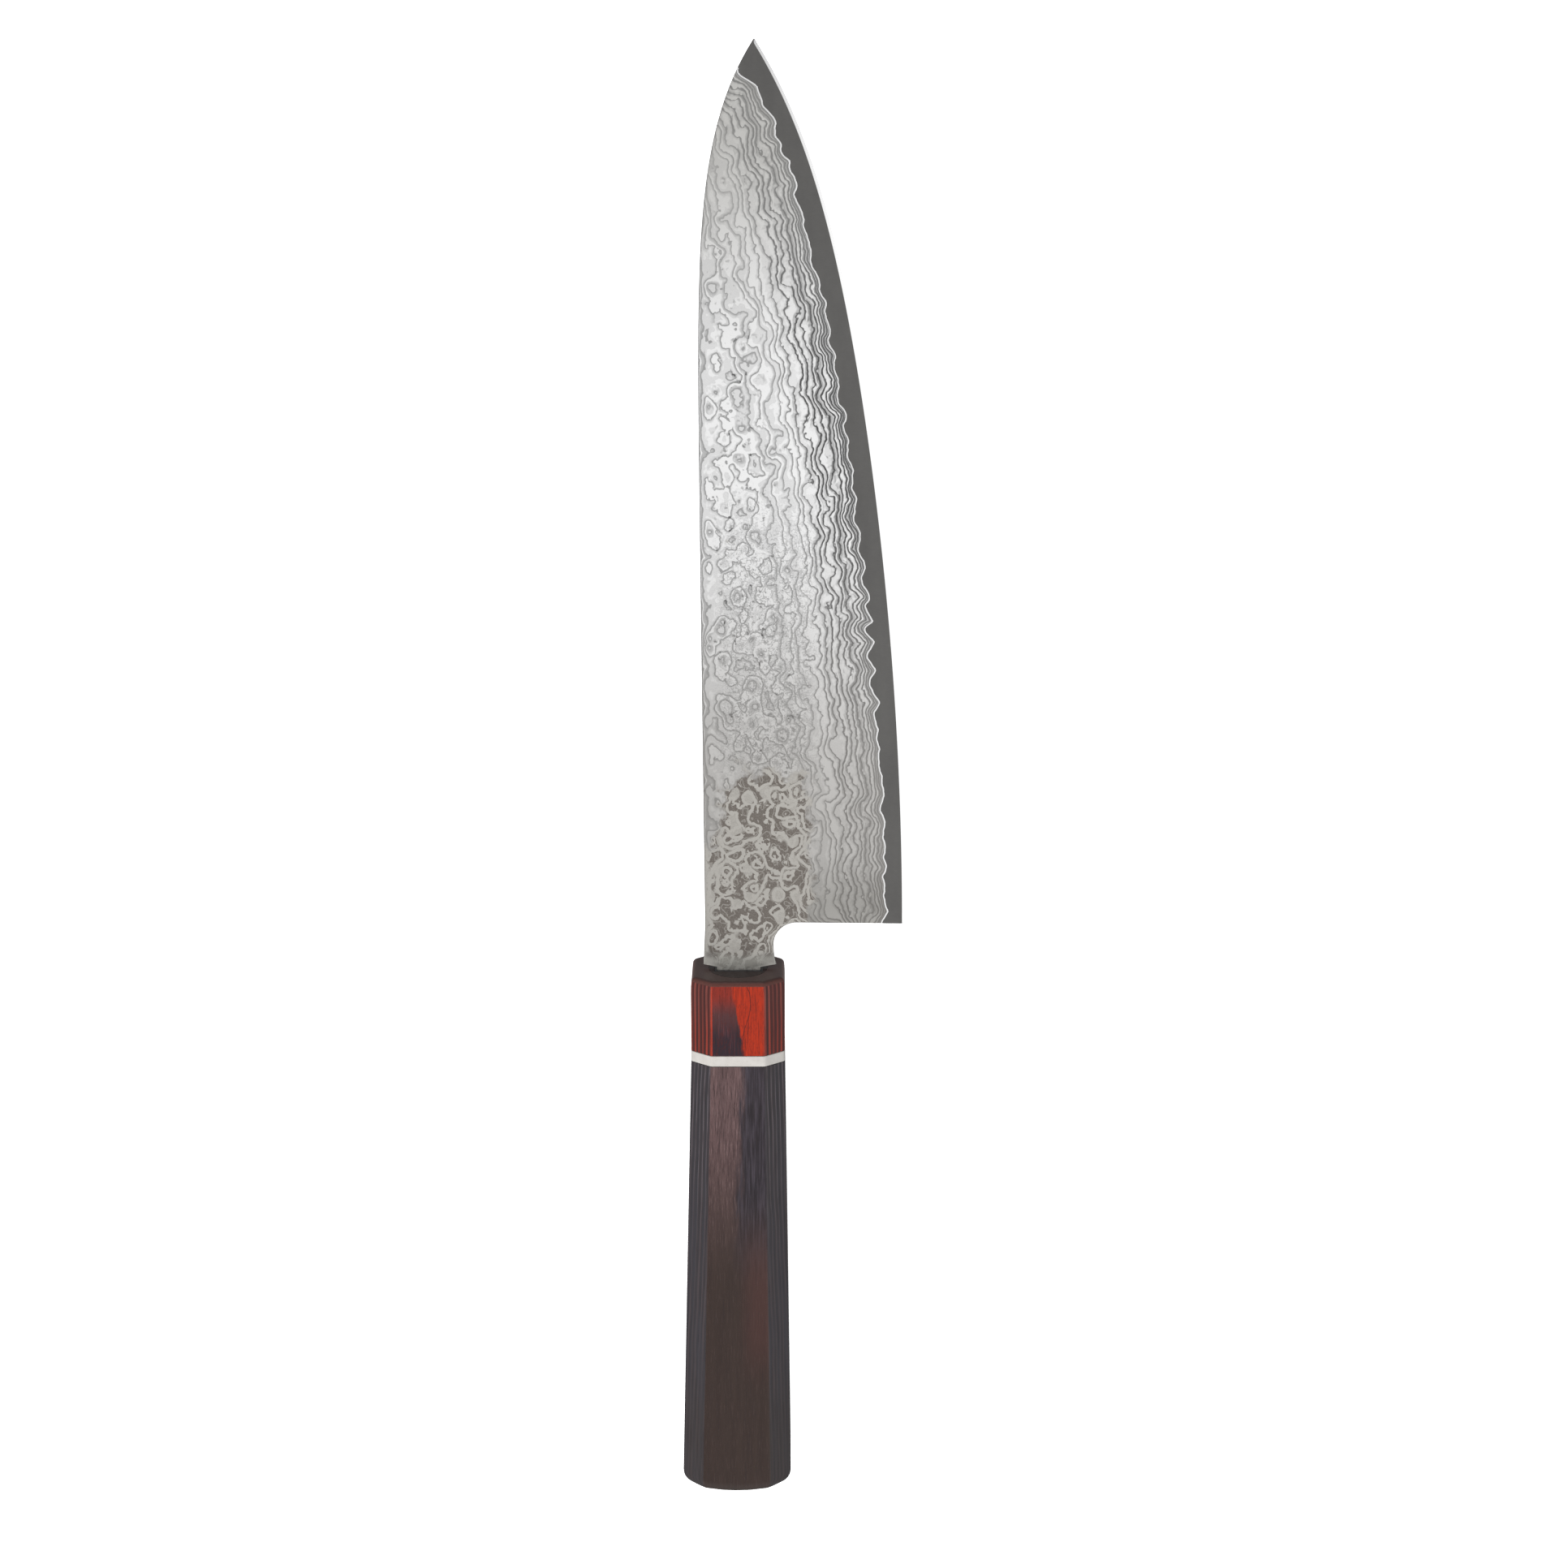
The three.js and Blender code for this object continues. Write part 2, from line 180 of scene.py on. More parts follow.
add_camera()
bpy.context.scene.view_settings.view_transform = "Standard"
bpy.context.scene.view_settings.look = "None"


# ---- node graphs ----
class Graph:
    """A small writer of shader nodes: sockets and plain numbers are both taken as inputs."""

    def __init__(self, tree):
        self.tree = tree
        self.tree.nodes.clear()

    def node(self, kind, inputs=None, **settings):
        made = self.tree.nodes.new(kind)
        for key, value in settings.items():
            setattr(made, key, value)
        for key, value in (inputs or {}).items():
            self.set(made.inputs[key], value)
        return made

    def set(self, socket, value):
        if isinstance(value, bpy.types.NodeSocket):
            self.tree.links.new(value, socket)
        elif value is not None:
            socket.default_value = value

    def math(self, operation, a, b=None, held=False):
        made = self.node("ShaderNodeMath", operation=operation, use_clamp=held)
        for socket, value in zip(made.inputs, (a, b)):
            self.set(socket, value)
        return made.outputs[0]

    def add(self, a, b):
        return self.math("ADD", a, b)

    def sub(self, a, b):
        return self.math("SUBTRACT", a, b)

    def mul(self, a, b):
        return self.math("MULTIPLY", a, b)

    def step(self, value, start, end, low=0.0, high=1.0):
        """Smooth ramp from low at start to high at end."""
        made = self.node("ShaderNodeMapRange", interpolation_type="SMOOTHSTEP")
        for key, number in (("Value", value), ("From Min", start), ("From Max", end),
                            ("To Min", low), ("To Max", high)):
            self.set(made.inputs[key], number)
        return made.outputs["Result"]

    def mix(self, part, a, b):
        made = self.node("ShaderNodeMix", data_type="RGBA")
        self.set(made.inputs["Factor"], part)
        for socket, value in zip((made.inputs[6], made.inputs[7]), (a, b)):
            self.set(socket, value)
        return made.outputs[2]

    def blend(self, part, a, b):
        """Mix of two numbers."""
        made = self.node("ShaderNodeMix", data_type="FLOAT")
        for socket, value in zip(made.inputs[:1] + made.inputs[2:4], (part, a, b)):
            self.set(socket, value)
        return made.outputs[0]

    def split(self, vector):
        return self.node("ShaderNodeSeparateXYZ", {"Vector": vector}).outputs[:3]

    def join(self, x, y, z):
        return self.node("ShaderNodeCombineXYZ", {"X": x, "Y": y, "Z": z}).outputs[0]

    def noise(self, vector, scale=1.0, detail=2.0, roughness=0.5):
        settings = {"Vector": vector, "Scale": scale, "Detail": detail, "Roughness": roughness}
        return self.node("ShaderNodeTexNoise", settings).outputs["Fac"]

    def random(self, number):
        """A random value from 0 to 1 that belongs to the number."""
        return self.node("ShaderNodeTexWhiteNoise", {"W": number}, noise_dimensions="1D").outputs["Value"]

    def shift(self, vector, offset):
        made = self.node("ShaderNodeVectorMath", operation="ADD")
        self.set(made.inputs[0], vector)
        self.set(made.inputs[1], offset)
        return made.outputs[0]

    def attribute(self, name):
        return self.node("ShaderNodeAttribute", attribute_name=name).outputs["Fac"]


def srgb(red, green, blue):
    """A colour given as 0 to 255 display values, as the linear RGBA that a socket takes."""
    def linear(value):
        share = value / 255
        return share / 12.92 if share <= 0.04045 else ((share + 0.055) / 1.055) ** 2.4
    return (linear(red), linear(green), linear(blue), 1.0)


def grey(value):
    return srgb(value, value, value)


class Surface(Graph):
    """A Principled material in millimetres of the knife's frame; fixed are the shader's own values."""

    def __init__(self, name, **fixed):
        self.material = bpy.data.materials.new(name)
        self.material.use_nodes = True
        super().__init__(self.material.node_tree)
        self.shader = self.node("ShaderNodeBsdfPrincipled")
        for key, value in fixed.items():
            self.shader.inputs[key.replace("_", " ")].default_value = value
        output = self.node("ShaderNodeOutputMaterial")
        self.tree.links.new(self.shader.outputs[0], output.inputs["Surface"])
        place = self.node("ShaderNodeTexCoord").outputs["Object"]
        scaled = self.node("ShaderNodeVectorMath", operation="MULTIPLY_ADD")
        self.set(scaled.inputs[0], place)
        scaled.inputs[1].default_value = (1 / MM,) * 3
        scaled.inputs[2].default_value = -ORIGIN / MM
        self.place = scaled.outputs[0]
        self.x, self.y, self.z = self.split(self.place)

    def stretched(self, x=1.0, y=1.0, z=1.0):
        return self.join(self.mul(self.x, x), self.mul(self.y, y), self.mul(self.z, z))

    def finish(self, colour, roughness, height, bump):
        """Sets what varies over the surface; bump is the height's full size in millimetres."""
        made = self.node("ShaderNodeBump", {"Height": height, "Distance": bump * MM})
        for key, value in (("Base Color", colour), ("Roughness", roughness), ("Normal", made.outputs[0])):
            self.set(self.shader.inputs[key], value)
        return self.material


# ---- steel ----
FIELD_PITCH = 0.25  # millimetres between the samples that give a layer field's slope
STRETCH = 0.85  # the bumps are this much longer along the blade
FLATTEST = 0.12  # layers per millimetre; keeps a line on level ground from spreading out


def layer_bumps(g, place, cell_weight):
    """How far the layers are pushed up and down, counted in layers, and each dimple's own values."""
    broad = g.noise(place, 0.26, 0.0)
    fine = g.noise(place, 0.75, 1.0, 0.5)
    cells = g.node("ShaderNodeTexVoronoi", {"Vector": place, "Scale": 0.29, "Smoothness": 0.55},
                   feature="SMOOTH_F1")
    own_level = g.split(cells.outputs["Color"])[0]
    rise = g.mul(g.sub(broad, 0.5), 2.4)
    ripple = g.mul(g.sub(fine, 0.5), 0.8)
    peak = g.add(g.mul(cells.outputs["Distance"], 2.0), g.mul(own_level, 1.2))
    bumps = g.add(g.add(rise, ripple), g.mul(peak, cell_weight))
    return bumps, cells.outputs["Distance"], own_level


class Layers:
    """The ground face's bumpy layer count, and how far each point lies from a line between layers."""

    def __init__(self, g):
        self.rim = g.attribute("from_line")
        self.cell_weight = g.step(self.rim, 9.0, 22.0, 0.22, 1.0)
        flat = g.stretched(1.0, STRETCH, 3.0)
        here, self.from_centre, self.own_level = layer_bumps(g, flat, self.cell_weight)
        across, _, _ = layer_bumps(g, g.shift(flat, (FIELD_PITCH, 0.0, 0.0)), self.cell_weight)
        along, _, _ = layer_bumps(g, g.shift(flat, (0.0, FIELD_PITCH, 0.0)), self.cell_weight)
        beside_spine = g.attribute("beside_spine")
        bumpiness = g.sub(1.0, beside_spine)
        here, across, along = (g.mul(value, bumpiness) for value in (here, across, along))

        self.choil_slope = g.attribute("choil_slope")
        slope_x = g.sub(g.mul(g.sub(across, here), 1 / FIELD_PITCH), g.attribute("layer_slope"))
        slope_y = g.sub(g.mul(g.sub(along, here), STRETCH / FIELD_PITCH), self.choil_slope)
        steep = g.math("SQRT", g.add(g.mul(slope_x, slope_x), g.mul(slope_y, slope_y)))
        self.steep = g.math("MAXIMUM", steep, FLATTEST)

        count = g.add(g.attribute("layers"), here)
        self.offset = g.sub(g.math("FRACT", count), 0.5)
        self.signed = g.math("DIVIDE", self.offset, self.steep)
        self.tone = g.random(g.math("FLOOR", count))
        self.speck = g.sub(g.noise(g.place, 4.5, 3.0, 0.7), 0.5)
        self.ragged = g.mul(g.sub(g.noise(g.place, 3.0, 2.0, 0.6), 0.5), 0.13)
        reach = g.add(g.math("ABSOLUTE", self.signed), self.ragged)
        self.reach = g.mul(reach, g.add(1.0, g.mul(beside_spine, 1.6)))


def etched_lines(g, layers, painted_tip_dimming, painted_heel_dimming):
    """Darkness of the plain pattern: lines, painted shade beside each line, dimples' eyes, squiggles in
    the faded zone and smudges.
    """
    rim = layers.rim
    line = g.mul(g.step(layers.reach, 0.26, 0.08), g.step(rim, 7.0, 14.0, 0.95, 0.6))
    dense = g.mul(g.step(layers.steep, 0.4, 0.9), g.step(rim, 13.0, 8.0))
    thick = g.mul(g.step(g.math("ABSOLUTE", layers.offset), 0.27, 0.13), dense)
    # painted shade: a soft grey band beside one side of each line, for a look of relief
    relief_shade = g.mul(g.mul(g.step(layers.signed, 0.9, 0.05), g.step(layers.signed, -0.1, 0.05)), 0.3)
    toned = g.mul(g.step(layers.tone, 0.4, 0.9), g.blend(dense, 0.16, 0.5))
    dark = g.math("MAXIMUM", g.math("MAXIMUM", line, thick), g.add(relief_shade, toned))

    eye = g.mul(g.step(layers.from_centre, 0.2, 0.08), g.step(layers.own_level, 0.5, 0.56))
    eye = g.mul(g.mul(eye, layers.cell_weight), g.step(g.noise(g.place, 1.8, 1.0), 0.4, 0.6, 0.2, 0.75))
    dark = g.math("MAXIMUM", dark, eye)
    # painted reflection falloff: the lines lose contrast towards the tip and the heel, and more so beside
    # the run-out near the heel
    dark = g.mul(dark, g.mul(g.blend(painted_tip_dimming, 1.0, 0.62), g.blend(painted_heel_dimming, 1.0, 0.85)))
    dark = g.mul(dark, g.blend(g.mul(painted_heel_dimming, g.step(rim, 12.0, 6.0)), 1.0, 0.72))

    faded = g.attribute("faded_zone")
    squiggle = g.math("ABSOLUTE", g.sub(g.noise(g.place, 0.75, 2.0, 0.55), 0.5))
    squiggle = g.mul(g.step(squiggle, 0.05, 0.012), g.mul(faded, 0.42))
    dark = g.math("MAXIMUM", dark, squiggle)
    dark = g.add(dark, g.mul(layers.speck, g.blend(faded, 0.25, 1.3)))
    smudge = g.step(g.noise(g.place, 0.5, 2.0, 0.6), 0.63, 0.72)
    smudge = g.mul(g.mul(smudge, g.step(rim, 14.0, 22.0, 0.0, 0.45)), g.step(g.x, -6.0, -3.5))
    return g.math("MAXIMUM", g.add(dark, smudge), 0.0, held=True)


def heel_rings(g, layers):
    """Lightness in the patch near the heel, whose dark ground is painted shade: broad rings, fine rings
    between them and islands.
    """
    ring = g.mul(g.add(layers.reach, g.mul(layers.ragged, 2.5)), g.add(1.0, layers.choil_slope))
    ring = g.step(ring, 0.56, 0.33)
    between = g.math("DIVIDE", g.sub(0.5, g.math("ABSOLUTE", layers.offset)), layers.steep)
    fine_ring = g.step(g.add(between, g.mul(layers.ragged, 1.5)), 0.2, 0.08, 0.0, 0.5)
    island = g.mul(g.step(layers.own_level, 0.62, 0.68), g.step(layers.from_centre, 0.5, 0.42, 0.0, 0.85))
    light = g.math("MAXIMUM", g.math("MAXIMUM", ring, island), g.math("MAXIMUM", fine_ring, 0.1))
    return g.math("ADD", light, g.mul(layers.speck, 1.1), held=True)


def patterned_steel():
    """Etched layers: contour lines of a bumpy layer count, and a ringed patch near the heel whose rings
    are layers and whose dark ground is painted shade of a dimmer reflection.
    """
    g = Surface("patterned_steel")
    layers = Layers(g)
    patchy = g.noise(g.place, 0.3, 2.0, 0.6)
    # painted shade: the patch near the heel, where a dimmer reflection is painted in
    heel = g.step(g.add(g.attribute("dim_heel_zone"), g.mul(g.sub(patchy, 0.5), 1.2)), 0.3, 0.55)
    # painted reflection: the layers' tones are darker and flatter towards the tip and the heel, where
    # less light is mirrored than at mid-blade
    painted_tip_dimming = g.step(g.y, HEEL_Y + 130.0, HEEL_Y + 188.0)
    painted_heel_dimming = g.step(g.y, HEEL_Y + 108.0, HEEL_Y + 22.0)
    dark = etched_lines(g, layers, painted_tip_dimming, painted_heel_dimming)
    light = heel_rings(g, layers)

    # painted shade: the light layers darken further just above the heel
    heel_dimmed_tone = g.mix(g.step(g.y, HEEL_Y + 20.0, HEEL_Y + 4.0), srgb(194, 192, 189), srgb(170, 168, 164))
    light_tone = g.mix(painted_tip_dimming, g.mix(painted_heel_dimming, grey(240), heel_dimmed_tone), srgb(202, 201, 198))
    dark_tone = g.mix(painted_heel_dimming, grey(92), srgb(100, 97, 94))
    plain = g.mix(dark, light_tone, dark_tone)
    # painted shade: the heel patch's dark ground and paler rings
    dimmed_heel_matrix = g.mix(light, srgb(120, 113, 107), srgb(190, 187, 181))
    colour = g.mix(heel, plain, dimmed_heel_matrix)
    # painted shadow: a dark line along the choil and the heel's underside
    colour = g.mix(g.step(layers.choil_slope, 1.08, 1.2, 0.0, 0.55), colour, grey(88))
    colour = g.mix(g.mul(g.step(layers.rim, 0.4, 0.22), 0.95), colour, grey(246))
    frosted = g.step(g.add(g.y, g.mul(patchy, 3.0)), 6.5, 3.5)
    colour = g.mix(g.mul(frosted, 0.6), colour, srgb(168, 168, 162))

    etched = g.blend(heel, dark, g.sub(0.7, g.mul(light, 0.6)))
    g.set(g.shader.inputs["Metallic"], g.blend(frosted, 1.0, 0.35))
    roughness = g.add(0.28, g.mul(etched, 0.16))
    height = g.sub(g.sub(1.0, etched), g.mul(layers.speck, 0.3))
    return g.finish(colour, roughness, height, 0.008)


def core_steel():
    """Bare core: a dark satin strip, and the bright honed bevel along the edge."""
    g = Surface("core_steel", Metallic=1.0)
    honed = g.attribute("honed")
    fine = g.noise(g.stretched(0.6, 6.0, 0.6), 1.0, 3.0, 0.6)
    broad = g.noise(g.stretched(0.25, 0.05, 1.0), 1.0, 2.0, 0.5)
    stain = g.noise(g.place, 0.5, 3.0, 0.65)
    tone = g.add(g.mul(g.sub(fine, 0.5), 0.35), g.mul(g.sub(broad, 0.5), 0.9))
    tone = g.add(tone, g.mul(g.sub(stain, 0.5), 0.4))
    strip = g.mix(g.add(tone, 0.5), srgb(97, 96, 95), srgb(117, 116, 114))
    colour = g.mix(honed, strip, grey(252))
    roughness = g.blend(honed, g.add(0.4, g.mul(tone, 0.06)), 0.16)
    return g.finish(colour, roughness, fine, 0.004)


# ---- wood ----
VENEER = 0.7  # millimetres per pair of veneers, measured up from the blade's plane
BUTT_CORNER_DRAFT = 0.345  # how fast the broad facets narrow as the butt's rounding falls away


def veneers(g, wave=0.16):
    """How far up its pair of veneers a point lies, and each pair's own random value."""
    wander = g.noise(g.stretched(0.09, 0.03, 0.05), 1.0, 2.0, 0.5)
    height = g.add(g.mul(g.z, 1 / VENEER), g.mul(g.sub(wander, 0.5), wave / VENEER * 4))
    return g.math("FRACT", height), g.random(g.math("FLOOR", height))


def grain_streaks(g):
    """Fine and coarse streaks along the handle."""
    fine = g.noise(g.stretched(2.6, 0.11, 2.6), 1.0, 3.0, 0.6)
    coarse = g.noise(g.stretched(0.8, 0.035, 0.8), 1.0, 2.0, 0.5)
    return fine, coarse


def red_sides(g, coarse, orange):
    """The ferrule's upright and slanted facets, where the veneers show as stripes."""
    part, own = veneers(g)
    dyed = g.mix(coarse, srgb(78, 30, 26), srgb(42, 18, 18))
    stripe = g.mix(g.step(g.y, -4.0, -16.0, 0.15, 0.6), srgb(112, 62, 56), orange)
    edged = g.mul(g.step(part, 0.42, 0.55), g.step(part, 1.0, 0.88))
    striped = g.mix(g.mul(edged, g.step(own, 0.0, 1.0, 0.35, 0.95)), dyed, stripe)
    hairline = g.mul(g.step(part, 0.34, 0.4), g.step(part, 0.5, 0.44))
    return g.mix(g.mul(hairline, 0.6), striped, srgb(34, 8, 8))


def red_top(g, fine, coarse, orange):
    """The ferrule's broad facets: maroon on the spine's side, and veined orange on the other."""
    maroon = g.mix(g.step(g.y, -2.5, -9.0), srgb(120, 34, 22), srgb(66, 40, 42))
    maroon = g.mix(g.step(g.add(g.y, g.mul(coarse, 3.0)), -6.5, -13.5), maroon, srgb(26, 25, 34))
    maroon = g.mix(g.mul(g.step(fine, 0.42, 0.3), 0.35), maroon, srgb(120, 72, 76))
    wobble = g.mul(g.sub(g.noise(g.stretched(0.6, 0.22, 0.0), 1.0, 3.0, 0.6), 0.5), 1.8)
    border = g.add(g.mul(g.add(g.y, 4.0), -0.17), -1.0)
    across = g.add(g.sub(g.x, border), wobble)
    top = g.mix(g.step(across, -0.25, 0.25), maroon, orange)
    figure = g.noise(g.stretched(1.1, 0.13, 0.0), 1.0, 4.0, 0.7)
    vein = g.math("ABSOLUTE", g.sub(figure, 0.5))
    top = g.mix(g.mul(g.step(vein, 0.03, 0.0), 0.55), top, srgb(70, 16, 10))
    arc = g.sub(g.x, g.add(2.1, g.math("SINE", g.mul(g.add(g.y, 10.5), 0.3))))
    arc = g.math("ABSOLUTE", g.add(arc, g.mul(wobble, 0.35)))
    top = g.mix(g.mul(g.step(arc, 0.16, 0.03), 0.8), top, srgb(58, 12, 10))
    return g.mix(g.step(g.x, -5.95, -6.25), top, srgb(170, 50, 26))


def sealed_front(g):
    """The ferrule's front face, sealed dark, and the rounding round it."""
    mottle = g.noise(g.stretched(1.5, 1.5, 5.0), 1.0, 3.0)
    face = g.mix(mottle, srgb(54, 38, 36), srgb(78, 54, 50))
    eased = g.mix(mottle, srgb(62, 36, 32), srgb(92, 52, 45))
    return g.mix(g.step(g.y, -0.1, -0.45), face, eased)


def red_laminate():
    """The ferrule's dyed veneers: striped sides, two-coloured broad facets and a dark front."""
    g = Surface("red_laminate", Coat_Weight=0.08, Coat_Roughness=0.12, Specular_IOR_Level=0.25)
    fine, coarse = grain_streaks(g)
    orange = g.mix(fine, srgb(184, 48, 9), srgb(100, 18, 4))
    level = FERRULE_OCTAGON["z"]
    broad = g.step(g.math("ABSOLUTE", g.z), level - 0.12, level + 0.02)
    colour = g.mix(broad, red_sides(g, coarse, orange), red_top(g, fine, coarse, orange))
    colour = g.mix(g.mul(g.step(fine, 0.5, 0.75), 0.45), colour, srgb(30, 12, 12))
    colour = g.mix(g.step(g.y, -1.15, -0.95), colour, sealed_front(g))
    return g.finish(colour, g.add(0.26, g.mul(fine, 0.14)), fine, 0.01)


def dark_sides(g, fine, coarse, ageing):
    """The grip's upright and slanted facets: slate and plum veneers with pale glints near the front."""
    part, own = veneers(g, 0.3)
    slate = g.mix(fine, srgb(50, 47, 51), srgb(31, 28, 32))
    plum = g.mix(fine, srgb(66, 57, 60), srgb(40, 35, 37))
    shifted = g.add(part, g.mul(g.sub(own, 0.5), 0.5))
    sides = g.mix(g.step(shifted, 0.35, 0.65), slate, plum)
    line = g.mul(g.step(part, 0.84, 0.92), g.step(part, 1.0, 0.95))
    sides = g.mix(g.mul(line, 0.35), sides, srgb(26, 24, 28))
    glint = g.mul(g.step(part, 0.5, 0.62), g.step(part, 0.8, 0.7))
    glint = g.mul(glint, g.mul(g.step(fine, 0.3, 0.6), g.blend(ageing, 0.8, 0.15)))
    sides = g.mix(glint, sides, srgb(98, 92, 98))
    dulled = g.mul(g.step(coarse, 0.4, 0.62), g.blend(ageing, 0.2, 0.55))
    sides = g.mix(dulled, sides, srgb(48, 46, 52))
    return g.mix(g.step(g.y, -95.0, -120.0, 0.0, 0.4), sides, srgb(44, 37, 33))


def dark_top(g, fine, coarse, ageing, pores):
    """The grip's broad facets: open-pored brown wood, with a bluish streak beside the cutting edge."""
    bright = g.mix(ageing, srgb(102, 79, 79), srgb(51, 39, 34))
    dull = g.mix(ageing, srgb(60, 44, 45), srgb(38, 27, 24))
    warm = g.mix(coarse, bright, dull)
    open_grain = g.step(g.y, -75.0, -40.0, 0.14, 0.9)
    top = g.mix(g.mul(g.step(pores, 0.5, 0.64), open_grain), warm, srgb(44, 31, 31))
    top = g.mix(g.mul(g.step(pores, 0.46, 0.34), g.mul(open_grain, 0.55)), top, srgb(130, 108, 106))

    wander = g.noise(g.stretched(0.5, 0.06, 0.0), 1.0, 4.0, 0.65)
    wobble = g.mul(g.sub(wander, 0.5), 7.0)
    border = g.add(g.add(g.x, g.mul(g.add(g.y, 25.0), -0.035)), wobble)
    bluish = g.mul(g.step(border, -0.4, 2.2), g.step(g.y, -82.0, -52.0))
    streak = g.mix(g.step(fine, 0.3, 0.62), srgb(55, 50, 58), srgb(25, 22, 28))
    top = g.mix(g.mul(bluish, 0.92), top, streak)
    blush = g.mul(g.step(g.math("ABSOLUTE", g.add(g.y, 84.0)), 26.0, 6.0), g.step(g.x, -1.0, 4.5))
    return g.mix(g.mul(blush, 0.2), top, srgb(92, 50, 48))


def broad_facets(g):
    """1 on the grip's broad facets and on their rounded ends at the butt, 0 on the other facets."""
    slope = (BUTT_OCTAGON["z"] - FERRULE_OCTAGON["z"]) / (FERRULE_BACK_Y - HANDLE_BUTT_Y)
    level = g.add(BUTT_OCTAGON["z"], g.mul(g.add(g.y, -HANDLE_BUTT_Y), -slope))
    high = g.math("ABSOLUTE", g.z)
    flat = g.step(high, g.sub(level, 0.16), g.sub(level, 0.02))
    sunk = g.sub(BUTT_OCTAGON["z"], high)
    facet_half = g.sub(BUTT_OCTAGON["x"] - BUTT_OCTAGON["cut_x"], g.mul(sunk, BUTT_CORNER_DRAFT))
    past_facet = g.sub(g.math("ABSOLUTE", g.sub(g.x, BUTT_SKEW)), facet_half)
    rounded = g.mul(g.step(g.y, HANDLE_BUTT_Y + 7.0, HANDLE_BUTT_Y + 6.4), g.step(high, 9.3, 9.8))
    return g.math("MAXIMUM", flat, g.mul(rounded, g.step(past_facet, 0.1, -0.05)))


def dark_laminate():
    """The grip's dark veneers, paler and more open-grained near the ferrule than at the butt."""
    g = Surface("dark_laminate", Coat_Weight=0.06, Coat_Roughness=0.2, Specular_IOR_Level=0.28)
    fine, coarse = grain_streaks(g)
    pores = g.noise(g.stretched(5.5, 0.2, 0.0), 1.0, 3.0, 0.75)
    ageing = g.step(g.y, -28.0, -80.0)
    sides = dark_sides(g, fine, coarse, ageing)
    colour = g.mix(broad_facets(g), sides, dark_top(g, fine, coarse, ageing, pores))
    colour = g.mix(g.mul(g.step(fine, 0.5, 0.8), 0.4), colour, srgb(28, 23, 26))
    return g.finish(colour, g.add(0.32, g.mul(fine, 0.2)), g.add(fine, g.mul(pores, 0.5)), 0.02)


def white_spacer():
    """Slightly clouded off-white plastic with a few brown specks."""
    g = Surface("white_spacer")
    cloud = g.noise(g.place, 0.5, 3.0, 0.6)
    speck = g.noise(g.place, 4.0, 2.0, 0.6)
    colour = g.mix(cloud, srgb(172, 168, 163), srgb(196, 193, 189))
    colour = g.mix(g.mul(g.step(speck, 0.6, 0.7), 0.35), colour, srgb(150, 138, 126))
    return g.finish(colour, g.add(0.35, g.mul(cloud, 0.1)), speck, 0.006)


def pale_wood():
    """The dowel round the tang; its end is sealed over with the ferrule's front."""
    g = Surface("pale_wood", Coat_Weight=0.08, Coat_Roughness=0.12, Specular_IOR_Level=0.25)
    rings = g.noise(g.stretched(1.5, 1.5, 5.0), 1.0, 3.0)
    side = g.mix(g.noise(g.stretched(2.5, 0.12, 2.5), 1.0, 3.0), srgb(150, 112, 80), srgb(190, 150, 110))
    end = g.mix(rings, srgb(32, 23, 23), srgb(50, 33, 32))
    colour = g.mix(g.step(g.y, HANDLE_FRONT_Y - 0.3, HANDLE_FRONT_Y - 0.1), side, end)
    return g.finish(colour, g.add(0.3, g.mul(rings, 0.15)), rings, 0.01)


def black_filler():
    """The filler in the slot's mouth, glossy black with a mottled face."""
    g = Surface("black_filler")
    mottle = g.noise(g.place, 1.8, 3.0, 0.6)
    colour = g.mix(mottle, srgb(22, 22, 25), srgb(38, 38, 44))
    return g.finish(colour, g.add(0.22, g.mul(mottle, 0.25)), mottle, 0.03)


# ---- meshes ----
SHARP_ANGLE = math.radians(28)


def skin(rings, closed=False):
    """Corner points and faces of a tube through rings of one length; its ends capped or joined."""
    count = len(rings[0])
    points = [point for ring in rings for point in ring]
    faces = []
    spans = len(rings) if closed else len(rings) - 1
    for r in range(spans):
        start = r * count
        above = ((r + 1) % len(rings)) * count
        for k in range(count):
            after = (k + 1) % count
            faces.append((start + k, start + after, above + after, above + k))
    if not closed:
        last = (len(rings) - 1) * count
        faces.append(tuple(range(count)))
        faces.append(tuple(range(last, last + count)))
    return points, faces


def piece(name, points, faces, material, node, slot, attributes=None):
    """A finished mesh object in the row frame, riding on the knife and standing for a CAD node."""
    mesh = bpy.data.meshes.new(name)
    mesh.from_pydata([row(*point) for point in points], [], faces)
    for key, values in (attributes or {}).items():
        mesh.attributes.new(key, "FLOAT", "POINT").data.foreach_set("value", np.array(values, float))
    work = bmesh.new()
    work.from_mesh(mesh)
    bmesh.ops.remove_doubles(work, verts=work.verts, dist=0.001 * MM)
    bmesh.ops.dissolve_degenerate(work, edges=work.edges, dist=0.0005 * MM)
    bmesh.ops.recalc_face_normals(work, faces=work.faces)
    for face in work.faces:
        face.smooth = True
    for edge in work.edges:
        edge.smooth = len(edge.link_faces) == 2 and edge.calc_face_angle(0.0) < SHARP_ANGLE
    work.to_mesh(mesh)
    work.free()
    made = add_object(name, mesh)
    mesh.materials.append(material)
    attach(made, "root")
    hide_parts(node)
    return made


